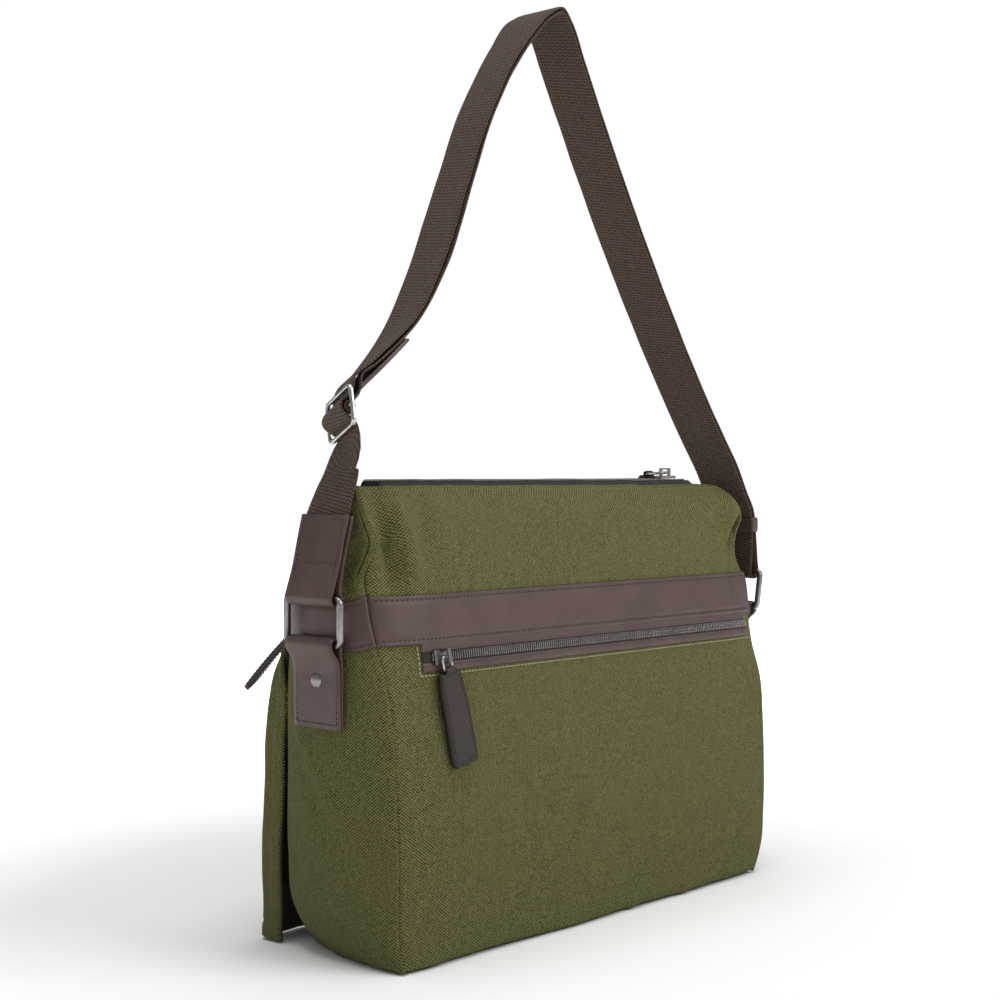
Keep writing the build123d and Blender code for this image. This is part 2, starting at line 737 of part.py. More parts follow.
# Far end: both layers go down through the keeper and round the far ring's top bar
far_top_x, far_top_z = ring_top(-1, FAR_RING_X)
far_bend_z = KEEPER_LOW + KEEPER_H + 2
lead_out = WEB_T / 2
lead_in = WEB_APART + WEB_T / 2
with BuildPart() as far_lead:
    with BuildSketch(xz_plane(-1, FAR_RING_Y)):
        with Locations((far_top_x, far_top_z)):
            Circle(EYE_R + WEB_T)
        with BuildLine():
            Polyline(
                (FAR_LEAD_X + lead_out, far_top_z),
                (FAR_LEAD_X + lead_out, far_bend_z),
                (FAR_LEAD_TOP_X + lead_out, STRAP_FROM - 10 * GAP),
                (FAR_LEAD_TOP_X - lead_in, STRAP_FROM - 10 * GAP),
                (FAR_LEAD_X - lead_in, far_bend_z),
                (FAR_LEAD_X - lead_in, far_top_z),
                close=True,
            )
        make_face()
        with Locations((far_top_x, far_top_z)):
            Circle(EYE_R, mode=Mode.SUBTRACT)
    extrude(amount=WEB_W / 2, both=True)
save(far_lead.part, "webbing_lead_far")

with BuildPart() as keeper:
    inner_x = WEB_APART + WEB_T + 2 * GAP
    with BuildSketch(Plane.XY.offset(KEEPER_LOW)):
        with Locations((-FAR_LEAD_X + WEB_APART / 2, FAR_RING_Y)):
            Rectangle(inner_x + 2 * LEATHER, WEB_W + 2 * GAP + 2 * LEATHER)
            Rectangle(inner_x, WEB_W + 2 * GAP, mode=Mode.SUBTRACT)
    extrude(amount=KEEPER_H)
save(keeper.part, "strap_keeper")

# Adjuster: wire frame, centre bar, the webbing end sewn round it, and its leather tip
frame_top = Plane(origin=at_buckle(0, edge_u), x_dir=bar, z_dir=bar_n)
buckle = link(frame_top, BUCKLE_W, BUCKLE_H, BUCKLE_WIRE)
save(buckle.part, "adjuster_frame")
bar_plane = Plane(origin=buckle_c, x_dir=bar_n, z_dir=-bar_w)
with BuildPart() as centre_bar:
    with BuildSketch(bar_plane):
        Circle(BUCKLE_WIRE)
    extrude(amount=BUCKLE_W / 2 - 2 * BUCKLE_WIRE - GAP / 4, both=True)
save(centre_bar.part, "adjuster_bar")

with BuildPart() as wrap:
    with BuildSketch(bar_plane):
        Circle(WRAP_R + WEB_T)
        with BuildLine():
            Polyline(
                (-WRAP_R - WEB_T, 0),
                (-WRAP_R, 0),
                (WRAP_END_N + WEB_T / 2, WRAP_END_U),
                (WRAP_END_N - WEB_T / 2, WRAP_END_U),
                close=True,
            )
        make_face()
        Circle(WRAP_R, mode=Mode.SUBTRACT)
    extrude(amount=WEB_W / 2, both=True)
save(wrap.part, "adjuster_wrap")

TIP = beside(OUTER[11:13], WEB_APART + WEB_T / 2 + TIP_T / 2 + GAP)
strap_tip = ribbon(TIP, WEB_W, TIP_T)
save(strap_tip.part, "strap_tip")
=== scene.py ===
import json
import math

import bpy
import numpy as np
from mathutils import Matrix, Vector, noise


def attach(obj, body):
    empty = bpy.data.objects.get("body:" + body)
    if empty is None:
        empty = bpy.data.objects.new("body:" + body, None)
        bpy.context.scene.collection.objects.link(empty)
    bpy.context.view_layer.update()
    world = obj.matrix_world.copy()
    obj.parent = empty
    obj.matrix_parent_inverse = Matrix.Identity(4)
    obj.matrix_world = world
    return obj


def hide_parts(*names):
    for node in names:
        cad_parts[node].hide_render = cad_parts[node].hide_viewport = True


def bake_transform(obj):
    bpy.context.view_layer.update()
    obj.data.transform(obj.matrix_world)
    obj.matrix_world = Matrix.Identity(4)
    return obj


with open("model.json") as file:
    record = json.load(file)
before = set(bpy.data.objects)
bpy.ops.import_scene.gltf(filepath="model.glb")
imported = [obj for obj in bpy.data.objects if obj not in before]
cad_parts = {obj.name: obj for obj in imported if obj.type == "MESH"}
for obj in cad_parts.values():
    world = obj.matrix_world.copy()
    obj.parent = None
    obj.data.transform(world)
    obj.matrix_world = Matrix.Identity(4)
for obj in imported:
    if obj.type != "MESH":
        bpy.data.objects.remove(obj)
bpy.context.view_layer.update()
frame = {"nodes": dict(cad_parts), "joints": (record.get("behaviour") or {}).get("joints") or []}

MM = 0.001
HEIGHT = 290.0
CANVAS = 1.8
LEATHER = 1.6
WEB_W = 38.0
WEB_T = 1.8
RING_Y = -8.0
FAR_RING_Y = 0.0
BAND_LOW = 193.0
BAND_HIGH = 223.0
BACK_ZIP_Z = 184.8
TAU = 2 * math.pi

for leftover in ("Cube", "Camera", "Light"):
    if leftover in bpy.data.objects:
        bpy.data.objects.remove(bpy.data.objects[leftover])


# ------------------------------------------------------------------ numbers
def smooth(points, t):
    """Smooth curve through key points (t, value, ...), one column of values per extra entry."""
    keys = np.array(points, float)
    t = np.clip(np.asarray(t, float), keys[0, 0], keys[-1, 0])
    i = np.clip(np.searchsorted(keys[:, 0], t, side="right") - 1, 0, len(keys) - 2)
    slope = np.gradient(keys[:, 1:], keys[:, 0], axis=0)
    step = keys[i + 1, 0] - keys[i, 0]
    s = ((t - keys[i, 0]) / step)[..., None]
    low, high = keys[i, 1:], keys[i + 1, 1:]
    step = step[..., None]
    h1 = s * s * (3 - 2 * s)
    h2 = s * (1 - s) ** 2
    h3 = s * s * (s - 1)
    out = low * (1 - h1) + high * h1 + step * (slope[i] * h2 + slope[i + 1] * h3)
    return out[..., 0] if keys.shape[1] == 2 else out


def bump(t, centre, width):
    """Bell curve of height 1."""
    return np.exp(-(((t - centre) / width) ** 2))


def wobble(a, b, size, seed):
    """Seeded noise field over two coordinates in mm, from -1 to 1."""
    return np.array([noise.noise(Vector((x / size, y / size, seed))) for x, y in zip(a, b)])


def unit(v):
    return v / np.maximum(np.linalg.norm(v, axis=-1, keepdims=True), 1e-9)


# ------------------------------------------------------------------ mesh helpers
def piece(name, verts, faces, material, uvs=None, flat=False):
    """Mesh object from points in mm; uvs are in metres, one per vertex."""
    mesh = bpy.data.meshes.new(name)
    mesh.from_pydata((np.asarray(verts) * MM).tolist(), [], faces)
    mesh.validate()
    if uvs is not None:
        layer = mesh.uv_layers.new(name="cloth")
        corner = np.zeros(len(mesh.loops), np.int32)
        mesh.loops.foreach_get("vertex_index", corner)
        layer.data.foreach_set("uv", np.asarray(uvs, np.float32)[corner].ravel())
    mesh.polygons.foreach_set("use_smooth", [not flat] * len(mesh.polygons))
    obj = bpy.data.objects.new(name, mesh)
    bpy.context.scene.collection.objects.link(obj)
    obj.data.materials.append(material)
    return obj


def put(part, body, slot, *nodes):
    """Make a piece ride a body and stand for CAD nodes; the slot argument is not used."""
    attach(part, body)
    if nodes:
        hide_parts(*nodes)


def grid_faces(rows, columns, wrap=False, first=0):
    """Quads of a grid stored row by row; wrap joins the last column to the first."""
    faces = []
    for r in range(rows - 1):
        for c in range(columns if wrap else columns - 1):
            d = (c + 1) % columns
            base = first + r * columns
            faces.append((base + c, base + d, base + columns + d, base + columns + c))
    return faces


def normals(surface, u, v):
    """Outward normals of surface(u, v), by differences."""
    e = 0.002
    along_u = surface(u + e, v) - surface(u - e, v)
    along_v = surface(u, v + e) - surface(u, v - e)
    return unit(np.cross(along_u, along_v))


def lifted(surface, lift):
    """The surface moved outwards by lift mm, which may be a function of (u, v)."""

    def moved(u, v):
        by = lift(u, v) if callable(lift) else lift
        return surface(u, v) + normals(surface, u, v) * np.reshape(by, (-1, 1))

    return moved


def spread(count, ease=0.0):
    """Samples from 0 to 1, closer together at both ends as ease grows."""
    t = np.linspace(0, 1, count)
    return (1 - ease) * t + ease * (0.5 - 0.5 * np.cos(math.pi * t))


def shell(name, surface, size, cells, thick, material, edge=0.0, press=None, ease=0.3):
    """Closed sheet of the given thickness lying outside surface(u, v).

    size is (width, height) in mm, edge the radius of its rounded rim, and press(u, v) in mm sinks
    the outer face, as along a stitched line.
    """
    nu, nv = cells
    us, vs = spread(nu, ease), spread(nv, ease)
    u, v = (a.ravel() for a in np.meshgrid(us, vs))
    inner = surface(u, v)
    out = normals(surface, u, v)
    depth = np.full(len(u), float(thick))
    if edge:
        rim = np.minimum(np.minimum(u, 1 - u) * size[0], np.minimum(v, 1 - v) * size[1])
        depth = depth * (0.35 + 0.65 * np.sqrt(1 - (1 - np.clip(rim / edge, 0, 1)) ** 2))
    if press is not None:
        depth = depth - press(u, v)
    outer = inner + out * depth[:, None]
    count = nu * nv
    faces = grid_faces(nv, nu, first=count)
    faces += [tuple(reversed(f)) for f in grid_faces(nv, nu)]
    rim_ids = list(range(nu)) + [r * nu + nu - 1 for r in range(1, nv)]
    rim_ids += [count - 1 - c for c in range(1, nu)] + [r * nu for r in range(nv - 2, 0, -1)]
    for a, b in zip(rim_ids, rim_ids[1:] + rim_ids[:1]):
        faces.append((a, b, b + count, a + count))
    uv = np.stack([u * size[0], v * size[1]], 1) * MM
    return piece(name, np.vstack([inner, outer]), faces, material, np.vstack([uv, uv]))


def frames(path, across):
    """(tangent, across, normal) at each point of a path."""
    tangent = unit(np.gradient(path, axis=0))
    across = np.broadcast_to(across, path.shape)
    across = unit(across - tangent * np.sum(across * tangent, 1, keepdims=True))
    return tangent, across, np.cross(tangent, across)


def sweep(name, path, across, section, material, closed=False):
    """Solid swept along a path; section is a list of (across, normal) points in mm, or one per point."""
    path = np.asarray(path, float)
    if closed:
        ring = np.vstack([path[-1:], path, path[:1]])
        tangent, side, up = (a[1:-1] for a in frames(ring, across))
    else:
        tangent, side, up = frames(path, across)
    section = np.asarray(section, float)
    if section.ndim == 2:
        section = np.broadcast_to(section, (len(path), *section.shape))
    verts = path[:, None] + side[:, None] * section[..., :1] + up[:, None] * section[..., 1:]
    n = section.shape[1]
    faces = grid_faces(len(path), n, wrap=True)
    if closed:
        last = (len(path) - 1) * n
        faces += [(last + c, last + (c + 1) % n, (c + 1) % n, c) for c in range(n)]
    else:
        faces += [tuple(range(n))[::-1], tuple((len(path) - 1) * n + k for k in range(n))]
    run = run_of(path)
    uv = np.stack([section[..., 0] + 0.3 * section[..., 1], np.repeat(run[:, None], n, 1)], -1)
    return piece(name, verts.reshape(-1, 3), faces, material, uv.reshape(-1, 2) * MM)


def circle(radius, sides):
    """Round section."""
    a = np.arange(sides) * TAU / sides
    return np.stack([radius * np.cos(a), radius * np.sin(a)], 1)


def rounded(half_a, half_b, corner, count=7):
    """Points round a rectangle with rounded corners."""
    points = []
    for a, b, start in ((1, 1, 0), (-1, 1, 90), (-1, -1, 180), (1, -1, 270)):
        for turn in np.radians(np.linspace(start, start + 90, count)):
            at_a = a * (half_a - corner) + corner * math.cos(turn)
            at_b = b * (half_b - corner) + corner * math.sin(turn)
            points.append((at_a, at_b))
    return points


def slab(width, thick, columns, rim=0.45):
    """Flat section with rounded rims, as webbing or a strip of leather has."""
    x = np.linspace(-1, 1, columns)
    high = thick / 2 * (1 - (1 - rim) * np.abs(x) ** 14)
    top = np.stack([x * width / 2, high], 1)
    under = np.stack([x[::-1] * width / 2, -high[::-1]], 1)
    return np.vstack([top, under])[::-1]


def run_of(path):
    """Distance along a path at each of its points."""
    steps = np.linalg.norm(np.diff(path, axis=0), axis=1)
    return np.concatenate([[0], np.cumsum(steps)])


def resample(path, spacing):
    """Points at even spacing along a path."""
    path = np.asarray(path, float)
    run = run_of(path)
    count = max(int(round(run[-1] / spacing)), 2)
    at = np.linspace(0, run[-1], count + 1)
    return np.stack([np.interp(at, run, path[:, k]) for k in range(path.shape[1])], 1)


def stitches(name, rows, material, pitch=3.3, length=2.5, radius=0.36, sink=0.05):
    """Separate thread stitches along rows of (points, normals)."""
    sides, rings = 6, 5
    verts, faces = [], []
    phi = np.linspace(0, math.pi, rings + 2)[1:-1]
    theta = np.arange(sides) * TAU / sides
    for points, out in rows:
        at = resample(np.hstack([points, out]), pitch)
        mid = (at[:-1] + at[1:]) / 2
        run = unit(at[1:, :3] - at[:-1, :3])
        up = unit(mid[:, 3:])
        side = unit(np.cross(run, up))
        for k in range(len(mid)):
            swing = 0.05 * math.sin(7.1 * k)
            ahead = unit(run[k] + side[k] * swing)
            base = len(verts)
            centre = mid[k, :3] + up[k] * (radius * 0.55 - sink)
            for p in phi:
                for q in theta:
                    ring = radius * math.sin(p) ** 0.5
                    verts.append(
                        centre
                        - ahead * (math.cos(p) * length / 2)
                        + side[k] * (ring * math.cos(q) * 1.15)
                        + up[k] * (ring * math.sin(q) - radius * 0.7 * math.cos(p) ** 4)
                    )
            tips = len(verts)
            verts.append(centre - ahead * length * 0.52 - up[k] * radius)
            verts.append(centre + ahead * length * 0.52 - up[k] * radius)
            faces += grid_faces(rings, sides, wrap=True, first=base)
            for c in range(sides):
                d = (c + 1) % sides
                faces.append((tips, base + d, base + c))
                last = base + (rings - 1) * sides
                faces.append((tips + 1, last + c, last + d))
    return piece(name, verts, faces, material)


def row_on(surface, u_ends, v_ends, lift, samples=90):
    """Row of points and normals on a surface between two (u, v) corners."""
    t = np.linspace(0, 1, samples)
    u = u_ends[0] + (u_ends[1] - u_ends[0]) * t
    v = v_ends[0] + (v_ends[1] - v_ends[0]) * t
    out = normals(surface, u, v)
    return surface(u, v) + out * lift, out


# ------------------------------------------------------------------ materials
class Look:
    """A material's node tree, with short calls to add and join nodes."""

    def __init__(self, name, **sockets):
        self.material = bpy.data.materials.new(name)
        self.material.use_nodes = True
        self.nodes = self.material.node_tree.nodes
        self.links = self.material.node_tree.links
        self.shader = self.nodes["Principled BSDF"]
        for key, value in sockets.items():
            self.shader.inputs[key.replace("_", " ")].default_value = value

    def add(self, kind, out=0, **inputs):
        node = self.nodes.new("ShaderNode" + kind)
        for key, value in inputs.items():
            if key.startswith("set_"):
                setattr(node, key[4:], value)
                continue
            socket = node.inputs[int(key[1:])] if key[1:].isdigit() else node.inputs[key]
            if isinstance(value, bpy.types.NodeSocket):
                self.links.new(value, socket)
            else:
                socket.default_value = value
        return node.outputs[out]

    def maths(self, operation, a, b=0.0):
        return self.add("Math", set_operation=operation, _0=a, _1=b)

    def plus(self, a, b):
        return self.maths("ADD", a, b)

    def times(self, a, b):
        return self.maths("MULTIPLY", a, b)

    def uv(self):
        return self.add("TexCoord", out=2)

    def place(self):
        return self.add("TexCoord", out=3)

    def split(self, vector):
        node = self.nodes.new("ShaderNodeSeparateXYZ")
        self.links.new(vector, node.inputs[0])
        return node.outputs[0], node.outputs[1], node.outputs[2]

    def grain(self, vector, scale, detail=3.0, rough=0.55):
        return self.add("TexNoise", Vector=vector, Scale=scale, Detail=detail, Roughness=rough)

    def ramp(self, value, low, high, to_low=0.0, to_high=1.0):
        args = {"From Min": low, "From Max": high, "To Min": to_low, "To Max": to_high}
        return self.add("MapRange", Value=value, **args)

    def mix(self, factor, a, b):
        return self.add("Mix", out=2, set_data_type="RGBA", Factor=factor, _6=a, _7=b)

    def finish(self, colour=None, rough=None, height=None, distance=0.0002, strength=1.0, more=()):
        if colour is not None:
            self.links.new(colour, self.shader.inputs["Base Color"])
        if rough is not None:
            self.links.new(rough, self.shader.inputs["Roughness"])
        normal = None
        for h, d, s in [*more, (height, distance, strength)]:
            if h is None:
                continue
            args = {"Height": h, "Distance": d, "Strength": s}
            if normal is not None:
                args["Normal"] = normal
            normal = self.add("Bump", **args)
        if normal is not None:
            self.links.new(normal, self.shader.inputs["Normal"])
        return self.material


def woven(look, warp, weft):
    """Height of a plain weave with threads warp and weft apart, in metres."""
    x, y, _ = look.split(look.uv())
    jitter = look.grain(look.uv(), 260.0, 2.0)
    wave_x = look.maths("SINE", look.plus(look.times(x, TAU / warp), look.times(jitter, 3.0)))
    wave_y = look.maths("SINE", look.plus(look.times(y, TAU / weft), look.times(jitter, 2.6)))
    return look.times(wave_x, wave_y)


def canvas_look(name, light, dark, worn):
    look = Look(name, Sheen_Weight=0.03, Sheen_Roughness=0.5, Specular_IOR_Level=0.12)
    weave = woven(look, 0.0024, 0.0019)
    place = look.place()
    fleck = look.grain(place, 620.0, 3.0, 0.75)
    drawn = look.add("Mapping", Vector=look.uv(), Scale=(240.0, 14.0, 1.0))
    slub = look.add("TexNoise", Vector=drawn, Scale=3.0, Detail=2.0)
    cloud = look.grain(place, 9.0, 4.0, 0.6)
    tone = look.plus(look.times(look.ramp(weave, -1, 1), 0.42), look.times(fleck, 0.62))
    tone = look.plus(tone, look.times(slub, 0.12))
    base = look.mix(look.ramp(tone, 0.38, 0.74), dark, light)
    colour = look.mix(look.ramp(cloud, 0.52, 0.78, 0.0, 0.35), base, worn)
    rough = look.ramp(fleck, 0.2, 0.8, 0.82, 0.95)
    return look.finish(
        colour, rough, weave, 0.0004, 0.9, more=[(fleck, 0.0004, 0.7), (slub, 0.00008, 0.3)],
    )


def leather_look(name, light, dark, shine=0.42):
    look = Look(name, Specular_IOR_Level=0.42, Coat_Weight=0.06, Coat_Roughness=0.35)
    place = look.place()
    cells = look.add("TexVoronoi", Vector=place, Scale=1300.0, set_feature="DISTANCE_TO_EDGE")
    pores = look.ramp(cells, 0.0, 0.22)
    grain = look.grain(place, 520.0, 4.0, 0.6)
    cloud = look.grain(place, 26.0, 4.0, 0.6)
    scuff = look.grain(place, 75.0, 5.0, 0.7)
    base = look.mix(look.ramp(cloud, 0.3, 0.7), dark, light)
    colour = look.mix(look.times(look.ramp(pores, 0.0, 0.5, 1.0, 0.0), 0.35), base, dark)
    rough = look.ramp(look.plus(scuff, look.times(grain, 0.5)), 0.5, 1.0, shine - 0.07, shine + 0.14)
    return look.finish(
        colour, rough, pores, 0.00006, 0.45, more=[(grain, 0.00012, 0.35), (scuff, 0.0006, 0.15)],
    )


WEB_YARN, WEB_PICK = 0.0021, 0.0023


def webbing_look(name, light, dark):
    look = Look(name, Sheen_Weight=0.04, Sheen_Roughness=0.5, Specular_IOR_Level=0.15)
    x, y, _ = look.split(look.uv())
    yarn = look.maths("DIVIDE", x, WEB_YARN)
    slant = look.times(look.maths("PINGPONG", yarn, 1.0), 2.6)
    twist = look.plus(slant, look.times(look.maths("FLOOR", yarn), 1.1))
    phase = look.plus(look.times(y, TAU / WEB_PICK), twist)
    rib = look.ramp(look.maths("SINE", phase), -1, 1)
    cord = look.ramp(look.maths("SINE", look.times(x, TAU / WEB_YARN)), -1, 1)
    height = look.plus(look.times(rib, 0.65), look.times(cord, 0.35))
    fleck = look.grain(look.place(), 700.0, 3.0, 0.65)
    tone = look.plus(look.times(height, 0.5), look.times(fleck, 0.6))
    colour = look.mix(look.ramp(tone, 0.3, 0.85), dark, light)
    rough = look.ramp(fleck, 0.2, 0.8, 0.7, 0.9)
    return look.finish(colour, rough, height, 0.0004, 0.9, more=[(fleck, 0.0002, 0.5)])


def metal_look(name, colour, rough_low, rough_high):
    look = Look(name, Metallic=1.0)
    place = look.place()
    drawn = look.add("Mapping", Vector=place, Scale=(1.0, 6.0, 1.0))
    scratch = look.add("TexNoise", Vector=drawn, Scale=420.0, Detail=4.0)
    cloud = look.grain(place, 90.0, 3.0)
    tone = look.mix(look.ramp(cloud, 0.35, 0.75), colour, tuple(c * 0.62 for c in colour[:3]) + (1.0,))
    rough = look.ramp(look.plus(scratch, cloud), 0.6, 1.4, rough_low, rough_high)
    return look.finish(tone, rough, scratch, 0.00003, 0.25)


def thread_look(name, light, dark):
    look = Look(name, Roughness=0.75, Sheen_Weight=0.2)
    fibre = look.grain(look.add("Mapping", Vector=look.place(), Scale=(1.0, 1.0, 1.6)), 2600.0, 2.0)
    colour = look.mix(look.ramp(fibre, 0.35, 0.65), dark, light)
    return look.finish(colour, None, fibre, 0.00008, 0.6)


def plastic_look(name, light, dark, shine):
    look = Look(name, Specular_IOR_Level=0.5)
    cloud = look.grain(look.place(), 600.0, 3.0)
    colour = look.mix(look.ramp(cloud, 0.35, 0.65), dark, light)
    return look.finish(
        colour, look.ramp(cloud, 0.3, 0.7, shine - 0.06, shine + 0.08), cloud, 0.00004, 0.3,
    )


def tape_look(name, light, dark, size=0.0009):
    look = Look(name, Sheen_Weight=0.15, Specular_IOR_Level=0.25)
    weave = woven(look, size, size)
    fleck = look.grain(look.place(), 1200.0, 2.0)
    tone = look.plus(look.times(look.ramp(weave, -1, 1), 0.5), look.times(fleck, 0.5))
    colour = look.mix(look.ramp(tone, 0.25, 0.8), dark, light)
    return look.finish(colour, look.ramp(fleck, 0.3, 0.7, 0.75, 0.9), weave, 0.00015, 0.8)


CANVAS_LOOK = canvas_look(
    "olive_canvas", (0.185, 0.178, 0.064, 1), (0.020, 0.020, 0.005, 1), (0.135, 0.12, 0.046, 1),
)
LEATHER_LOOK = leather_look("brown_leather", (0.088, 0.050, 0.043, 1), (0.052, 0.028, 0.024, 1))
PULL_LOOK = leather_look("dark_leather", (0.024, 0.012, 0.010, 1), (0.013, 0.007, 0.006, 1), 0.5)
WEB_LOOK = webbing_look("brown_webbing", (0.125, 0.085, 0.062, 1), (0.016, 0.010, 0.008, 1))
NICKEL_LOOK = metal_look("nickel", (0.50, 0.49, 0.47, 1), 0.2, 0.36)
DARK_NICKEL_LOOK = metal_look("gunmetal", (0.30, 0.29, 0.28, 1), 0.24, 0.4)
BROWN_THREAD = thread_look("brown_thread", (0.036, 0.022, 0.019, 1), (0.014, 0.009, 0.008, 1))
OLIVE_THREAD = thread_look("olive_thread", (0.165, 0.155, 0.062, 1), (0.08, 0.076, 0.028, 1))
CREAM_THREAD = thread_look("cream_thread", (0.36, 0.34, 0.20, 1), (0.2, 0.19, 0.1, 1))
TAPE_LOOK = tape_look("zip_tape", (0.030, 0.024, 0.023, 1), (0.010, 0.008, 0.008, 1))
LINING_LOOK = tape_look("lining_cloth", (0.058, 0.048, 0.036, 1), (0.026, 0.022, 0.017, 1), 0.0007)
COIL_LOOK = metal_look("gunmetal_teeth", (0.30, 0.27, 0.25, 1), 0.22, 0.4)
STEEL_LOOK = metal_look("magnet_plate", (0.42, 0.42, 0.42, 1), 0.3, 0.45)


# ------------------------------------------------------------------ the body's walls (mm)
MID_BACK = [
    (-6, 49), (0, 50), (26, 51), (60, 50.5), (100, 48), (140, 44.5), (180, 39), (222, 32), (262, 22),
    (282, 13), (290, 6), (296, 2),
]
MID_FRONT = [
    (-6, -36), (0, -40), (14, -48), (26, -51.5), (60, -52.5), (100, -52), (180, -50.5), (222, -45),
    (262, -35), (282, -24), (290, -18), (296, -15),
]
NEAR_BACK = [
    (-6, 180, 48), (0, 180.5, 49), (10, 181, 46.5), (60, 181, 45), (110, 181.5, 43), (145, 182, 41),
    (175, 182, 34), (192, 183, 28), (210, 183.5, 22), (222, 183, 19), (235, 181.5, 15.5),
    (246, 180.5, 21), (256, 180, 24), (266, 179, 17), (278, 178, 8), (290, 175.5, 1), (296, 174, -1),
]
NEAR_FRONT = [
    (-6, 164, -38), (0, 168, -41), (14, 176, -47), (26, 180, -51), (60, 184, -52), (110, 186, -50),
    (175, 186, -49), (222, 185, -44), (262, 181, -33), (282, 177, -22), (290, 175.5, -14),
    (296, 174, -12),
]
FAR_BACK = [
    (-6, -180, 47), (0, -183, 48), (8, -188, 48), (20, -193, 48), (45, -196, 48), (110, -197, 47),
    (148, -196.5, 44), (168, -196, 38), (195, -196, 33), (222, -196, 28), (233, -197, 22),
    (252, -198, 22), (264, -202, 24), (274, -202, 21), (282, -198, 15), (288, -191, 8), (291, -185, 3),
    (296, -181, 0),
]
FAR_FRONT = [
    (-6, -172, -38), (0, -176, -41), (14, -186, -47), (26, -190, -51), (60, -194, -52),
    (110, -196, -50), (175, -196, -49), (222, -196, -44), (262, -196, -33), (276, -195, -26),
    (286, -189, -18), (291, -184, -13), (296, -181, -11),
]
BULGE = {
    "near": [
        (-6, 5), (0, 6), (10, 9), (30, 11), (80, 12), (140, 12.5), (180, 12.5), (222, 12), (246, 9),
        (262, 7), (282, 3), (296, 0),
    ],
    "far": [
        (-6, 4), (0, 5), (10, 8), (30, 11), (80, 13), (140, 13.5), (180, 13.5), (222, 13), (246, 10),
        (262, 6), (282, 2), (296, 0),
    ],
}


def back_wall(u, z):
    """Back panel, from the near seam at u 0 to the far seam at u 1."""
    near, far = smooth(NEAR_BACK, z), smooth(FAR_BACK, z)
    x = near[:, 0] * (1 - u) + far[:, 0] * u
    mid = smooth(MID_BACK, z)
    reach_near, reach_far = 46.0, 40.0
    fall_near = np.clip(1 - (near[:, 0] - x) / reach_near, 0, 1.3) ** 2.4
    fall_far = np.clip(1 - (x - far[:, 0]) / reach_far, 0, 1.3) ** 2.4
    y = mid + (near[:, 1] - mid) * fall_near + (far[:, 1] - mid) * fall_far
    foot = np.clip(1 - z / 7.0, 0, 1) ** 2
    return np.stack([x, y - 3.0 * foot, z], 1)


def back_relief(u, v):
    """Soft folds of the back panel, in mm outwards."""
    z = v * HEIGHT
    x = 180 - 360 * u
    lean = 0.10 * (z - 250)
    fold = -10.0 * bump(x, 167.5 + lean, 6.0) * bump(z, 253, 22)
    fold += 5.0 * bump(x, 155 + lean, 7) * bump(z, 256, 24)
    fold -= 2.6 * bump(x, 140 + 0.5 * lean, 8.0) * bump(z, 262, 18)
    fold += 1.4 * bump(x, 126, 10) * bump(z, 262, 18)
    fold -= 8.5 * bump(x + 0.5 * (z - 256), -179, 7) * bump(z, 256, 18)
    fold += 3.6 * bump(x + 0.5 * (z - 256), -165, 8) * bump(z, 258, 19)
    low = np.clip((170 - z) / 120, 0, 1)
    ripple = 0.9 * np.sin(x / 21 + 0.6 * np.sin(z / 45)) + 0.7 * np.sin(x / 37 + 1.3 + z / 160)
    fold += 0.55 * low * ripple
    crease = bump(x + 0.45 * (z - 20), -42, 5) + 0.8 * bump(x + 0.35 * (z - 20), -98, 5)
    fold += 1.3 * crease * np.clip(1 - z / 55, 0, 1)
    fold += 1.0 * wobble(x, z, 46, 3.1) + 0.45 * wobble(x, z, 17, 8.4)
    fold += 1.2 * wobble(x * 1.6, z, 60, 5.7) * np.clip((z - 225) / 30, 0, 1)
    return fold * np.clip(np.minimum(u, 1 - u) * 360 / 5, 0, 1)


def front_wall(u, z):
    """Front panel, from the far seam at u 0 to the near seam at u 1."""
    near, far = smooth(NEAR_FRONT, z), smooth(FAR_FRONT, z)
    x = far[:, 0] * (1 - u) + near[:, 0] * u
    mid = smooth(MID_FRONT, z)
    fall_near = np.clip(1 - (near[:, 0] - x) / 30.0, 0, 1.3) ** 2.4
    fall_far = np.clip(1 - (x - far[:, 0]) / 30.0, 0, 1.3) ** 2.4
    y = mid + (near[:, 1] - mid) * fall_near + (far[:, 1] - mid) * fall_far
    return np.stack([x, y, z], 1)


def front_relief(u, v):
    z = v * HEIGHT
    x = 360 * u - 180
    fold = 0.9 * wobble(x, z, 50, 13.1) + 0.4 * wobble(x, z, 19, 18.4)
    fold -= 2.5 * (bump(x, 160, 7) + bump(x, -160, 7)) * bump(z, 262, 18)
    fold += 1.0 * (bump(x, 146, 9) + bump(x, -146, 9)) * bump(z, 262, 20)
    return fold * np.clip(np.minimum(u, 1 - u) * 360 / 5, 0, 1) * np.clip((z - 6) / 20, 0, 1)


def side_wall(side):
    """Gusset between the front and back seams; u runs so that its normal is outwards."""
    front, back = (NEAR_FRONT, NEAR_BACK) if side == "near" else (FAR_FRONT, FAR_BACK)
    sign = 1 if side == "near" else -1

    def wall(u, z):
        t = u if side == "near" else 1 - u
        a, b = smooth(front, z), smooth(back, z)
        full = np.clip(np.sin(math.pi * np.clip(t, 0, 1)), 0, 1) ** 0.72
        swell = smooth(BULGE[side], z) * full
        x = a[:, 0] * (1 - t) + b[:, 0] * t + sign * swell
        y = a[:, 1] * (1 - t) + b[:, 1] * t
        return np.stack([x, y, z], 1)

    return wall


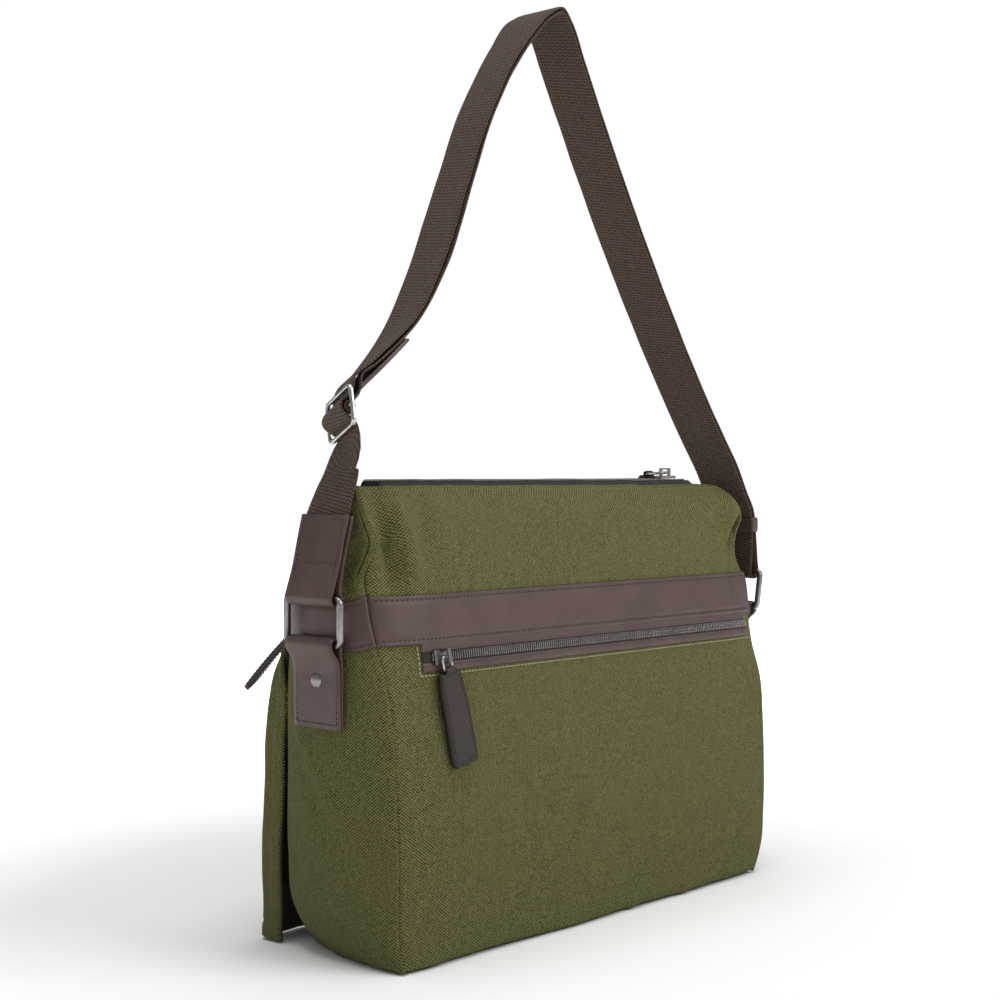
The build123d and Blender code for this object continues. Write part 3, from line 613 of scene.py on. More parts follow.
def side_relief(side):
    def relief(u, v):
        z = v * HEIGHT
        t = u if side == "near" else 1 - u
        y = -52 + 100 * t
        seed = 21.0 if side == "near" else 31.0
        fold = 1.1 * wobble(y, z, 34, seed) + 0.5 * wobble(y, z, 14, seed + 4)
        under = np.clip((150 - z) / 20, 0, 1)
        fold += 2.2 * bump(y + 33 - (142 - z) * 0.78, 0, 7) * under * np.clip((z - 55) / 30, 0, 1)
        fold -= 1.4 * bump(y + 47 - (142 - z) * 0.7, 0, 7) * under * np.clip((z - 50) / 30, 0, 1)
        fold -= 2.4 * bump(t, 0.8, 0.1) * bump(z, 244, 20)
        fold += 1.2 * bump(t, 0.93, 0.06) * bump(z, 250, 22)
        fold -= 1.6 * bump(t, 0.16, 0.1) * bump(z, 250, 20)
        fold += 1.5 * bump(z, 22, 9) * np.sin(t * 9)
        return fold * np.clip(np.minimum(t, 1 - t) * 100 / 6, 0, 1)

    return relief


WALLS = {
    "back": (back_wall, back_relief, 360.0),
    "front": (front_wall, front_relief, 360.0),
    "near": (side_wall("near"), side_relief("near"), 100.0),
    "far": (side_wall("far"), side_relief("far"), 100.0),
}


def skin(side, u, z, share=1.0, lift=0.0):
    """Points of a wall with that share of its folds, lift mm further out, and its normals."""
    wall, folds, _ = WALLS[side]
    out = normals(lambda a, b: wall(a, b * HEIGHT), u, z / HEIGHT)
    rise = share * folds(np.clip(u, 0, 1), z / HEIGHT) + lift
    return wall(u, z) + out * rise[:, None], out


def wall_surface(side, low=0.0, high=HEIGHT, share=1.0):
    """Surface of one wall between two heights, with v from 0 to 1, in mm."""
    return lambda u, v: skin(side, u, low + (high - low) * v, share)[0]


CELLS = {"back": (240, 190), "front": (150, 120), "near": (90, 190), "far": (70, 150)}
NODES = {"back": "back_panel", "front": "front_panel", "near": "gusset_near", "far": "gusset_far"}
for side in WALLS:
    surface = lifted(wall_surface(side, 0.6, HEIGHT), -CANVAS)
    width = WALLS[side][2]
    panel = shell(
        f"canvas_{side}", surface, (width, HEIGHT), CELLS[side], CANVAS, CANVAS_LOOK, edge=1.2,
        ease=0.15,
    )
    put(panel, "bag", "canvas", NODES[side])


# Base, sewn to the four walls at the floor
def base_surface(u, v):
    """Underside from the near end at u 0 to the far end at u 1; v runs from back to front."""
    z = np.full(len(u), 0.4)
    back, front = back_wall(u, z), front_wall(1 - u, z)
    near, far = WALLS["near"][0](1 - v, z), WALLS["far"][0](v, z)
    flat = back * (1 - v)[:, None] + front * v[:, None]
    ends_x = near[:, 0] * (1 - u) + far[:, 0] * u
    flat[:, 0] = ends_x
    flat[:, 2] = 1.9 + 0.5 * wobble(flat[:, 0], flat[:, 1], 40, 2.2)
    return flat


base = shell("canvas_base", base_surface, (360, 90), (110, 34), 1.4, CANVAS_LOOK)
put(base, "bag", "canvas", "base_panel")

# Lining inside the mouth, a loose sleeve that hangs just inside the walls
for side in WALLS:
    surface = lifted(wall_surface(side, 3.0, 284.0), -3.6)
    cloth = shell(f"lining_{side}", surface, (WALLS[side][2], 281), (50, 40), 0.5, LINING_LOOK)
    put(cloth, "bag", "lining", "lining")


# ------------------------------------------------------------------ leather band
def band_surface(side, low=BAND_LOW, high=BAND_HIGH):
    """Leather a little outside a wall, dipping at the corners of the gussets."""
    drop = 3.0 if side in ("near", "far") else 0.0

    def sagged(u, v):
        edge = np.clip(np.minimum(u, 1 - u) * WALLS[side][2] / 14, 0, 1)
        return skin(side, u, low + (high - low) * v - drop * edge, 0.6, 0.15)[0]

    return sagged


def band_press(u, v):
    """Leather sunk along its two sewn edges."""
    return 0.35 * bump(np.minimum(v, 1 - v) * (BAND_HIGH - BAND_LOW), 3.0, 1.1)


band_rows = []
for side in WALLS:
    surface = band_surface(side)
    width = WALLS[side][2]
    high = BAND_HIGH - BAND_LOW
    cells = (180, 26) if width > 200 else (70, 26)
    if side == "front":
        low_part = band_surface(side, BAND_LOW, 200.6)
        top_part = band_surface(side, 213.4, BAND_HIGH)
        band = shell(
            "band_front_low", low_part, (width, 7.6), (150, 9), LEATHER, LEATHER_LOOK, edge=1.0,
        )
        upper = shell(
            "band_front_top", top_part, (width, 9.6), (150, 9), LEATHER, LEATHER_LOOK, edge=1.0,
        )
        put(upper, "bag", "leather", "band_front")
        band_rows.append(row_on(low_part, (0.02, 0.98), (0.45, 0.45), LEATHER))
        band_rows.append(row_on(top_part, (0.02, 0.98), (0.62, 0.62), LEATHER))
    else:
        band = shell(
            f"band_{side}", surface, (width, high), cells, LEATHER, LEATHER_LOOK, edge=1.1,
            press=band_press,
        )
        for v in (0.1, 0.9):
            band_rows.append(row_on(surface, (0.008, 0.992), (v, v), LEATHER - 0.3))
    put(band, "bag", "leather", f"band_{side}")
thread = stitches("band_stitches", band_rows, BROWN_THREAD, pitch=3.4, length=2.5, radius=0.48)
put(thread, "bag", "leather")


# ------------------------------------------------------------------ back zip under the band
def across_wall(side, x, z):
    """The u of a long wall at a place x."""
    seams = (NEAR_BACK, FAR_BACK) if side == "back" else (FAR_FRONT, NEAR_FRONT)
    first, last = (smooth(seam, z)[:, 0] for seam in seams)
    return (x - first) / (last - first)


def strip_on(side, low, high, from_x, to_x, lift):
    """Part of a long wall between two heights and two x places."""

    def surface(u, v):
        z = low + (high - low) * v
        return skin(side, across_wall(side, from_x + (to_x - from_x) * u, z), z, lift=lift)[0]

    return surface


ZIP_FROM, ZIP_TO = 155.5, -189.0
zip_length = ZIP_FROM - ZIP_TO
well = shell(
    "back_zip_well", strip_on("back", 177.0, 195.0, ZIP_FROM, ZIP_TO, 0.1), (zip_length, 19), (160, 8),
    0.35, TAPE_LOOK,
)
put(well, "bag", "zip_tape", "back_zip_tape")
upper = shell(
    "back_zip_facing", strip_on("back", 188.2, 195.0, ZIP_FROM, ZIP_TO, 0.3), (zip_length, 8), (160, 7),
    1.0, LEATHER_LOOK, edge=0.8,
)
lower = shell(
    "back_zip_facing_low", strip_on("back", 176.2, 181.8, ZIP_FROM, ZIP_TO, 0.3), (zip_length, 6),
    (160, 7), 0.8, LEATHER_LOOK, edge=0.8,
)
for facing in (upper, lower):
    put(facing, "bag", "leather")


def zip_teeth(name, surface_of, half_gap=0.8, pitch=2.0, tooth=3.0, thick=0.62):
    """Two rows of teeth, each a short bent bar lying across the tape."""
    verts, faces = [], []
    sides = 6
    for sign in (-1, 1):
        at = resample(np.hstack(surface_of(sign * half_gap)), pitch)
        run = unit(np.gradient(at[:, :3], axis=0))
        for k in range(len(at)):
            up = unit(at[k, 3:])
            across = unit(np.cross(run[k], up)) * sign
            base = len(verts)
            arc = np.linspace(-1, 1, 5)
            for a in arc:
                centre = at[k, :3] + across * (a * tooth / 2) + up * (thick * (1.3 - 0.8 * a * a))
                for q in np.arange(sides) * TAU / sides:
                    wide, tall = 0.72 * thick * math.cos(q), 0.8 * thick * math.sin(q)
                    verts.append(centre + run[k] * wide + up * tall)
            faces += grid_faces(5, sides, wrap=True, first=base)
            faces.append(tuple(range(base, base + sides))[::-1])
            faces.append(tuple(range(base + 4 * sides, base + 5 * sides)))
    return piece(name, verts, faces, COIL_LOOK)


def coil_row(side, z, from_x, to_x, lift):
    """Function of an offset up the wall that gives one row of points and normals."""

    def row(offset):
        x = np.linspace(from_x, to_x, 200)
        height = np.full(len(x), z + offset * 1.6)
        return skin(side, across_wall(side, x, height), height, lift=lift)

    return row


teeth = zip_teeth("back_zip_teeth", coil_row("back", BACK_ZIP_Z + 0.4, ZIP_FROM - 8, ZIP_TO + 2, 0.5))
put(teeth, "bag", "zip_coil", "back_zip_coil")

under = strip_on("back", 174.2, 174.4, ZIP_FROM + 2.5, ZIP_TO - 2, 0.1)
cream_rows = [row_on(under, (0, 1), (0.5, 0.5), 0.1, 200)]
ends = strip_on("back", 174.4, 192.0, ZIP_FROM + 2.5, ZIP_TO - 2, 0.1)
cream_rows.append(row_on(ends, (0, 0), (0, 1), 0.1, 12))
cream = stitches("back_zip_stitches", cream_rows, CREAM_THREAD, pitch=3.1, length=2.4, radius=0.46)
put(cream, "bag", "canvas")

dark_rows = []
for low, lift in ((189.4, 1.3), (180.0, 1.1)):
    line = strip_on("back", low, low + 0.2, ZIP_FROM - 3, ZIP_TO + 3, lift)
    dark_rows.append(row_on(line, (0, 1), (0.5, 0.5), 0.0, 200))
dark = stitches("back_zip_facing_stitches", dark_rows, BROWN_THREAD, pitch=2.9, length=2.1, radius=0.28)
put(dark, "bag", "leather")

# Pocket bag behind the back zip
pocket_bag = shell(
    "back_pocket_lining", lifted(wall_surface("back", 42.0, 172.0, 0.0), -5.6), (340, 130), (50, 30),
    0.5, LINING_LOOK,
)
put(pocket_bag, "bag", "lining", "back_pocket_bag")

# Topstitching along the mouth
hem_at = (286.4 / HEIGHT, 286.4 / HEIGHT)
hem_rows = [row_on(wall_surface(side), (0.01, 0.99), hem_at, 0.0, 200) for side in ("back", "front")]
hem = stitches("mouth_stitches", hem_rows, OLIVE_THREAD, pitch=3.0, length=2.2, radius=0.3)
put(hem, "bag", "canvas")

# ------------------------------------------------------------------ mouth and its open zip
for side in ("back", "front"):
    tape_line = lifted(wall_surface(side, 277.0, 293.4), -3.2)
    tape = shell(
        f"top_zip_tape_{side}", lambda u, v, s=tape_line: s(0.05 + 0.9 * u, v), (324, 16), (120, 12),
        0.8, TAPE_LOOK,
    )
    put(tape, "bag", "zip_tape", f"top_zip_tape_{side}")


def mouth_row(offset):
    side = "back" if offset < 0 else "front"
    surface = lifted(wall_surface(side, 277.0, 293.4), -2.8)
    t = np.linspace(0.055, 0.93, 200)
    t = t if side == "back" else 1 - t
    points = surface(t, np.ones(len(t)))
    return points, np.broadcast_to(np.array([0.0, 0.0, 1.0]), points.shape)


teeth = zip_teeth("top_zip_teeth", mouth_row, tooth=2.4)
put(teeth, "bag", "zip_coil", "top_zip_coil")

# ------------------------------------------------------------------ front zip in its band slot
well = shell(
    "front_zip_well", strip_on("front", 200.0, 214.0, -176, 176, 0.0), (336, 14), (140, 8), 0.4,
    TAPE_LOOK,
)
put(well, "bag", "zip_tape", "front_zip_tape")
teeth = zip_teeth("front_zip_teeth", coil_row("front", 207.0, -171, 160, 0.5))
put(teeth, "bag", "zip_coil", "front_zip_coil")

# ------------------------------------------------------------------ front pocket under the flap
POCKET_X, POCKET_LOW, POCKET_HIGH = 150.0, 14.0, 150.0
POCKET_DEEP, POCKET_CORNER = 16.0, 7.0


def pocket_surface(u, v):
    """Patch pocket: near-straight front with two pleated sides, u from far to near."""
    side = POCKET_DEEP - POCKET_CORNER
    turn = math.pi / 2 * POCKET_CORNER
    straight = 2 * (POCKET_X - POCKET_CORNER)
    s = (u - 0.5) * (straight + 2 * (turn + side))
    a = np.abs(s) - straight / 2
    angle = np.clip(a / POCKET_CORNER, 0, math.pi / 2)
    x = np.minimum(np.abs(s), straight / 2) + POCKET_CORNER * np.sin(angle)
    back = POCKET_CORNER * (1 - np.cos(angle)) + np.clip(a - turn, 0, None)
    z = POCKET_LOW + (POCKET_HIGH - POCKET_LOW) * v
    wall_y = smooth(MID_FRONT, z)
    slack = 1.2 * wobble(s, z, 45, 41.0) * np.clip((POCKET_X - np.abs(s)) / 40, 0, 1)
    y = wall_y - POCKET_DEEP + back - slack
    return np.stack([np.sign(s) * x, y, z], 1)


pocket_w = 2 * (POCKET_X + POCKET_DEEP)
pocket = shell(
    "front_pocket_canvas", lifted(pocket_surface, -CANVAS), (pocket_w, 136), (170, 70), CANVAS,
    CANVAS_LOOK, edge=1.2,
)
put(pocket, "bag", "canvas", "front_pocket")


def pocket_floor(u, v):
    x = (u - 0.5) * 2 * (POCKET_X - 1)
    back = smooth(MID_FRONT, np.full(len(u), POCKET_LOW))
    z = POCKET_LOW - 0.4 - 1.2 * np.sin(v * math.pi)
    return np.stack([x, back - POCKET_DEEP * v + 0.5, z], 1)


floor_part = shell(
    "front_pocket_floor", lambda u, v: pocket_floor(1 - u, v), (300, 16), (60, 8), 1.2, CANVAS_LOOK,
)
put(floor_part, "bag", "canvas")
rows = [row_on(pocket_surface, (0.03, 0.97), (v, v), 0.05, 160) for v in (0.94, 0.965, 0.03)]
rows += [row_on(pocket_surface, (u, u), (0.03, 0.93), 0.05, 60) for u in (0.062, 0.938)]
sewn = stitches("front_pocket_stitches", rows, OLIVE_THREAD)
put(sewn, "bag", "canvas")

# ------------------------------------------------------------------ flap
FLAP_LINE = [
    (-1, -82.5), (1.2, -82.5), (20, -82.2), (60, -81.2), (100, -80.0), (135, -77.5), (158, -73.0),
    (172, -67.0), (183, -60.0), (190.5, -55.6), (193, -54.5),
]
FLAP_FLAT, FLAP_ROLL, FLAP_RETURN = 178.0, 6.0, 15.0
FLAP_LOW, FLAP_HIGH = 1.4, 190.8
flap_side = FLAP_FLAT + math.pi / 2 * FLAP_ROLL + FLAP_RETURN


def flap_surface(u, v):
    """Front flap, u from far to near; both side edges roll back towards the gussets."""
    s = (u - 0.5) * 2 * flap_side
    z = FLAP_LOW + (FLAP_HIGH - FLAP_LOW) * v
    a = np.abs(s) - FLAP_FLAT
    angle = np.clip(a / FLAP_ROLL, 0, math.pi / 2)
    free = np.clip((186 - z) / 30, 0, 1)
    back = (FLAP_ROLL * (1 - np.cos(angle)) + np.clip(a - math.pi / 2 * FLAP_ROLL, 0, None)) * free
    x = np.minimum(np.abs(s), FLAP_FLAT) + FLAP_ROLL * np.sin(angle)
    low = np.clip((150 - z) / 150, 0, 1)
    wave = 1.5 * np.sin(s / 38 + 0.7) * low + 1.1 * wobble(s, z, 55, 51.0) + 0.5 * wobble(
        s, z, 20, 53.0,
    )
    wave += 1.6 * bump(s - 0.25 * z, 150, 7) * low - 1.2 * bump(s + 0.2 * z, 172, 6) * bump(z, 30, 26)
    y = smooth(FLAP_LINE, z) + back - wave * np.clip((184 - z) / 20, 0, 1)
    x = x + np.where(a > 0, 1.6 * wobble(z, s * 0, 40, 57.0) * free, 0)
    return np.stack([np.sign(s) * x, np.minimum(y, -54.6), z], 1)


def flap_press(u, v):
    """Hem fold along the free edges."""
    rim = np.minimum(np.minimum(u, 1 - u) * 2 * flap_side, v * (FLAP_HIGH - FLAP_LOW))
    return 0.55 * bump(rim, 10.5, 1.3) - 0.35 * np.clip((10 - rim) / 3, 0, 1)


flap_line = flap_surface(np.full(60, 0.5), np.linspace(0, 1, 60))
flap_length = float(run_of(flap_line)[-1])
flap = shell(
    "flap_canvas", lifted(flap_surface, -CANVAS), (2 * flap_side, flap_length), (230, 130), CANVAS,
    CANVAS_LOOK, edge=1.0, press=flap_press, ease=0.2,
)
hem_rows = [row_on(flap_surface, (0.012, 0.988), (0.042, 0.042), 0.0, 200)]
hem_rows += [row_on(flap_surface, (u, u), (0.042, 0.97), 0.0, 90) for u in (0.02, 0.98)]
flap_hem = stitches("flap_stitches", hem_rows, OLIVE_THREAD)
cloth = shell(
    "flap_lining_cloth", lifted(flap_surface, -2.7), (2 * flap_side, flap_length), (110, 60), 0.5,
    LINING_LOOK,
)
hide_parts("flap")
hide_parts("flap_lining")
for part, name in ((flap, "canvas"), (flap_hem, "canvas"), (cloth, "lining")):
    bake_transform(part)

# ------------------------------------------------------------------ rings
RING_LOW_Z = 194.0
RING_HALF = 24.0
RINGS = {"near": (1, 202.0, 202.0, 222.0, RING_Y), "far": (-1, 222.0, 226.9, 221.6, FAR_RING_Y)}


def ring_loop(half_w, low, high, corner, centre_y):
    """Closed rounded rectangle between two (x, z) places, wide along y."""
    low, high = np.array(low, float), np.array(high, float)
    tall = np.linalg.norm(high - low)
    up = (high - low) / tall
    points = []
    for y, h in rounded(half_w, tall / 2, corner):
        at = low + up * (tall / 2 + h)
        points.append((at[0], centre_y + y, at[1]))
    return points, np.array([up[1], 0, -up[0]])


RING_SECTION = [
    (-1.9, -1.2), (-1.4, -1.7), (1.4, -1.7), (1.9, -1.2), (1.9, 1.2), (1.4, 1.7), (-1.4, 1.7),
    (-1.9, 1.2),
]
for side, (sign, low_x, high_x, high_z, ring_y) in RINGS.items():
    loop, face = ring_loop(RING_HALF, (sign * low_x, RING_LOW_Z), (sign * high_x, high_z), 3.5, ring_y)
    ring = sweep(f"ring_{side}_bar", loop, face, RING_SECTION, DARK_NICKEL_LOOK, closed=True)
    put(ring, f"{side}_ring", "nickel", f"ring_{side}")

# ------------------------------------------------------------------ leather tabs
TAB_W = 42.0


def folded_strip(points, name, at_y):
    """Leather strip following (x, z) points, wide along y."""
    keys = np.array([(x, at_y, z) for x, z in points], float)
    run = run_of(keys)
    at = np.linspace(0, run[-1], int(run[-1] / 0.8))
    path = smooth(np.hstack([run[:, None], keys]), at)
    return sweep(name, path, (0, 1, 0), slab(TAB_W, LEATHER, 16, rim=0.55), LEATHER_LOOK)


def arc_points(cx, cz, radius, start, end, count=9):
    """Points on a circle in the (x, z) side view, angles in degrees."""
    angles = np.radians(np.linspace(start, end, count))
    return [(cx + radius * math.cos(a), cz + radius * math.sin(a)) for a in angles]


def plate_rows(origin, down, side, out, height, extra, inset=3.0):
    """Border stitch rows, and extra cross rows, of a flat leather plate hanging from origin."""
    origin, down, side, out = (np.array(a, float) for a in (origin, down, side, out))
    half = TAB_W / 2 - inset
    corners = [
        (-half, inset), (-half, height - inset), (half, height - inset), (half, inset), (-half, inset),
    ]
    lines = list(zip(corners, corners[1:])) + [((-half, e), (half, e)) for e in extra]
    rows = []
    for (a, b), (c, d) in lines:
        t = np.linspace(0, 1, 30)[:, None]
        p = origin + side * (a + (c - a) * t) + down * (b + (d - b) * t)
        rows.append((p, np.broadcast_to(out, p.shape)))
    return rows


def lathe(name, centre, axis, profile, material, sides=28):
    """Turned piece: profile is (radius, height) along axis from centre."""
    axis = unit(np.array(axis, float))
    first = unit(np.cross(axis, (0.3, 0.2, 0.9)))
    second = np.cross(axis, first)
    verts = []
    for r, h in profile:
        for a in np.arange(sides) * TAU / sides:
            spoke = first * math.cos(a) + second * math.sin(a)
            verts.append(np.array(centre) + axis * h + spoke * r)
    faces = grid_faces(len(profile), sides, wrap=True)
    last = (len(profile) - 1) * sides
    faces += [tuple(range(sides))[::-1], tuple(range(last, last + sides))]
    return piece(name, verts, faces, material)


TAB_FACE = {"near": 196.2, "far": 210.4}
TAB_LOW = 143.0
tab_rows = []
for side, (sign, low_x, high_x, high_z, ring_y) in RINGS.items():
    x0 = TAB_FACE[side]
    outside = x0 + 2.6
    points = [(outside - 0.4, TAB_LOW), (outside, 152), (outside + 0.3, 165), (outside + 0.6, 177)]
    points += [(outside + 1.8, 184)] + arc_points(low_x, RING_LOW_Z, 4.2, -20, 200)
    points += [
        (x0 + 1.4, 185), (x0 + 0.9, 178), (x0 + 0.9, 165), (x0 + 0.9, 152), (x0 + 0.5, TAB_LOW + 0.4),
    ]
    points = [(sign * x, z) for x, z in points]
    tab = folded_strip(points, f"tab_lower_{side}_leather", ring_y)
    put(tab, "bag", "leather", f"tab_lower_{side}")
    origin = (sign * (outside + 0.75), ring_y, 189.0)
    foot = np.array([sign * (outside + 0.45), ring_y, TAB_LOW])
    down = unit(foot - np.array(origin))
    tab_rows += plate_rows(origin, down, (0, 1, 0), (sign, 0, 0), 46.0, extra=(8.0,))
    centre = (sign * (outside + 0.7), ring_y, 172.0)
    dome = [
        (5.6, -0.4), (5.7, 0.15), (5.2, 0.35), (4.7, 0.2), (4.5, 0.5), (4.0, 1.25), (3.0, 1.8),
        (1.6, 2.1), (0.3, 2.2),
    ]
    rivet = lathe(f"rivet_{side}", centre, (sign, 0, 0), dome, DARK_NICKEL_LOOK)
    put(rivet, "bag", "nickel", "rivets")

# Upper tab: two leather faces around the webbing, folded round the near ring's top bar
UP_TOP = np.array([190.5, 271.5])
UP_LOW = np.array([202.0, 226.0])
up_dir = (UP_TOP - UP_LOW) / np.linalg.norm(UP_TOP - UP_LOW)
up_out = np.array([up_dir[1], -up_dir[0]])
apart = WEB_T / 2 + LEATHER / 2 + 0.15
points = [tuple(UP_TOP + up_out * apart), tuple(UP_TOP - up_dir * 12 + up_out * (apart + 0.2))]
points += [tuple(UP_LOW + up_dir * 12 + up_out * (apart + 0.1))] + arc_points(
    202.0, 222.0, 4.3, 30, -210, 11,
)
inside = (UP_LOW + up_dir * 12, UP_TOP - up_dir * 12, UP_TOP)
points += [tuple(p - up_out * apart) for p in inside]
tab = folded_strip(points, "tab_upper_near_leather", RING_Y)
put(tab, "bag", "leather", "tab_upper_near")
face = np.array([up_out[0], 0, up_out[1]])
origin = np.array([UP_TOP[0], RING_Y, UP_TOP[1]]) + face * (apart + LEATHER / 2 - 0.1)
tab_rows += plate_rows(origin, (-up_dir[0], 0, -up_dir[1]), (0, 1, 0), face, 42.0, extra=(30.0,))
sewn = stitches("tab_stitches", tab_rows, BROWN_THREAD, pitch=3.1, length=2.4, radius=0.42, sink=0.0)
put(sewn, "bag", "leather")

# ------------------------------------------------------------------ webbing, one continuous length
BUCKLE = np.array([180.0, -8.0, 333.0])
bar_w = unit(np.array([0.376, 0.888, 0.267]))
bar_u = unit(np.array([0, 0, 1.0]) - bar_w * bar_w[2])
bar_n = np.cross(bar_w, bar_u)
FRAME_W, FRAME_H, FRAME_WIRE = 47.0, 28.0, 1.6


def at_buckle(n, u):
    """Point n outwards and u upwards from the centre bar's middle."""
    return tuple(BUCKLE + bar_n * n + bar_u * u)


BAR = tuple(bar_w)
SQUARE = (0.0, 1.0, 0.0)
LEAN = (0.17, 0.985, 0.0)
root = UP_LOW + up_dir * 14
ROUTE_UP = [
    ((root[0], RING_Y, root[1]), SQUARE),
    ((UP_TOP[0], RING_Y, UP_TOP[1]), SQUARE),
    ((187.0, -8, 281), (0.05, 0.99, 0.02)),
    ((182.0, -8, 292), (0.1, 0.99, 0.05)),
    ((178.2, -8, 302), (0.2, 0.97, 0.12)),
    (at_buckle(-4.2, -18.4), BAR),
    (at_buckle(-3.4, -12.4), BAR),
    (at_buckle(-1.6, -8.4), BAR),
    (at_buckle(3.6, -4.6), BAR),
    (at_buckle(5.3, -2.2), BAR),
    (at_buckle(5.3, 2.2), BAR),
    (at_buckle(3.6, 4.6), BAR),
    (at_buckle(-1.6, 8.4), BAR),
    (at_buckle(-3.4, 12.4), BAR),
    (at_buckle(-4.4, 17.4), BAR),
    ((161, -7, 363), (0.34, 0.91, 0.23)),
    ((132, -6, 391), (0.22, 0.96, 0.1)),
    ((109, -5, 430), LEAN),
    ((86, -5, 483), LEAN),
    ((62, -5, 538), LEAN),
    ((30, -5, 586), (0.1, 0.99, 0)),
    ((7, -5, 609.5), SQUARE),
    ((-5, -5, 614.5), SQUARE),
    ((-14, -5, 606), SQUARE),
    ((-27, -5, 583), SQUARE),
    ((-54, -6, 537), SQUARE),
    ((-99, -7, 463), SQUARE),
    ((-157, -4, 371), SQUARE),
    ((-188, -1.6, 325), SQUARE),
]
FAR_TOP = [
    ((-205, 0, 300.8), SQUARE), ((-216, 0.2, 283), SQUARE), ((-225.2, 0, 268), SQUARE),
    ((-227.6, 0, 256), SQUARE), ((-229.6, 0, 240), SQUARE),
]
LOOP = [((-x, 0.0, z), SQUARE) for x, z in arc_points(*RINGS["far"][2:4], 4.8, 25, -200, 11)]
RISE = [
    ((-223.6, 0, 240), SQUARE), ((-224.2, 0, 256), SQUARE), ((-222.2, 0, 267), SQUARE),
    ((-213.3, 0.2, 281.6), SQUARE), ((-202.4, 0, 299.2), SQUARE),
]


def beside(stations, gap):
    """The same run, moved towards the inside of the loop."""
    centres = np.array([c for c, w in stations], float)
    widths = unit(np.array([w for c, w in stations], float))
    run = np.gradient(centres, axis=0)
    inward = unit(np.cross(run, widths))
    return [(tuple(c + n * gap), tuple(w)) for c, n, w in zip(centres, inward, widths)]


WRAP_TURNS = np.radians([60, 20, -20, -60, -100, -140, -180, -220, -250])
WRAP = [(at_buckle(-9.9, 19.6), BAR), (at_buckle(-8.4, 12.5), BAR), (at_buckle(-6.4, 7.6), BAR)]
WRAP += [(at_buckle(-3.1 * math.cos(a), 3.1 * math.sin(a)), BAR) for a in WRAP_TURNS]
inner_run = beside(ROUTE_UP[15:], 2.9)
ROUTE = ROUTE_UP + FAR_TOP + LOOP + RISE + inner_run[::-1] + WRAP


def webbing_path(stations, spacing):
    centres = np.array([c for c, w in stations], float)
    widths = unit(np.array([w for c, w in stations], float))
    run = run_of(centres)
    at = np.linspace(0, run[-1], int(run[-1] / spacing))
    both = smooth(np.hstack([run[:, None], centres, widths]), at)
    return both[:, :3], unit(both[:, 3:])


def webbing_section(path):
    """Flat woven section whose cup and ripple change a little along its length."""
    base = slab(WEB_W, WEB_T, 22, rim=0.5)
    run = run_of(path)
    cup = 0.9 * np.array([noise.noise(Vector((s / 90.0, 4.4, 0))) for s in run])
    edge = 0.45 * np.array([noise.noise(Vector((s / 24.0, 9.4, 0))) for s in run])
    section = np.broadcast_to(base, (len(path), *base.shape)).copy()
    x = base[:, 0] / (WEB_W / 2)
    section[:, :, 1] += cup[:, None] * (x * x - 0.4) + edge[:, None] * x**3
    return section


path, across = webbing_path(ROUTE, 2.2)
web = sweep("strap_webbing", path, across, webbing_section(path), WEB_LOOK)
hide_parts("strap_outer", "strap_inner", "webbing_lead_near", "webbing_lead_far", "adjuster_wrap")
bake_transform(web)

# Leather-tipped end, folded over the free end of the webbing above the buckle
tip_path, tip_across = webbing_path(beside(ROUTE_UP[14:18], 6.2)[:3], 1.2)
tip_end = int(len(tip_path) * 0.72)
tip_section = slab(WEB_W + 1.0, 3.2, 20, rim=0.5)
tip = sweep("strap_tip_leather", tip_path[:tip_end], tip_across[:tip_end], tip_section, LEATHER_LOOK)
put(tip, "strap", "leather", "strap_tip")

# ------------------------------------------------------------------ adjuster
half_frame = (FRAME_W / 2 - FRAME_WIRE, FRAME_H / 2 - FRAME_WIRE)
loop = [BUCKLE + bar_w * w + bar_u * u for w, u in rounded(*half_frame, 3.5)]
adjuster = sweep(
    "adjuster_loop", loop, bar_n, np.array(RING_SECTION) * (0.72, 0.7), NICKEL_LOOK, closed=True,
)
put(adjuster, "strap", "nickel", "adjuster_frame")
t = np.linspace(-1, 1, 9)[:, None]
post = sweep(
    "adjuster_post", BUCKLE + bar_w * t * (FRAME_W / 2 - 1.0), bar_n, circle(FRAME_WIRE, 14),
    NICKEL_LOOK,
)
put(post, "strap", "nickel", "adjuster_bar")

# ------------------------------------------------------------------ keeper round both layers at the far end
KEEPER_X, KEEPER_Z, KEEPER_TALL = -225.7, 257.5, 11.0
loop = [(KEEPER_X + b, FAR_RING_Y + a, KEEPER_Z) for a, b in rounded(20.0, 3.4, 1.4, 6)]
keeper = sweep(
    "strap_keeper_leather", loop, (0, 0, 1), slab(KEEPER_TALL, 1.5, 8), LEATHER_LOOK, closed=True,
)
put(keeper, "keeper", "leather", "strap_keeper")

# ------------------------------------------------------------------ leather pulls
PULL_L, PULL_W, PULL_T, PULL_NECK = 58.0, 23.0, 3.6, 13.0


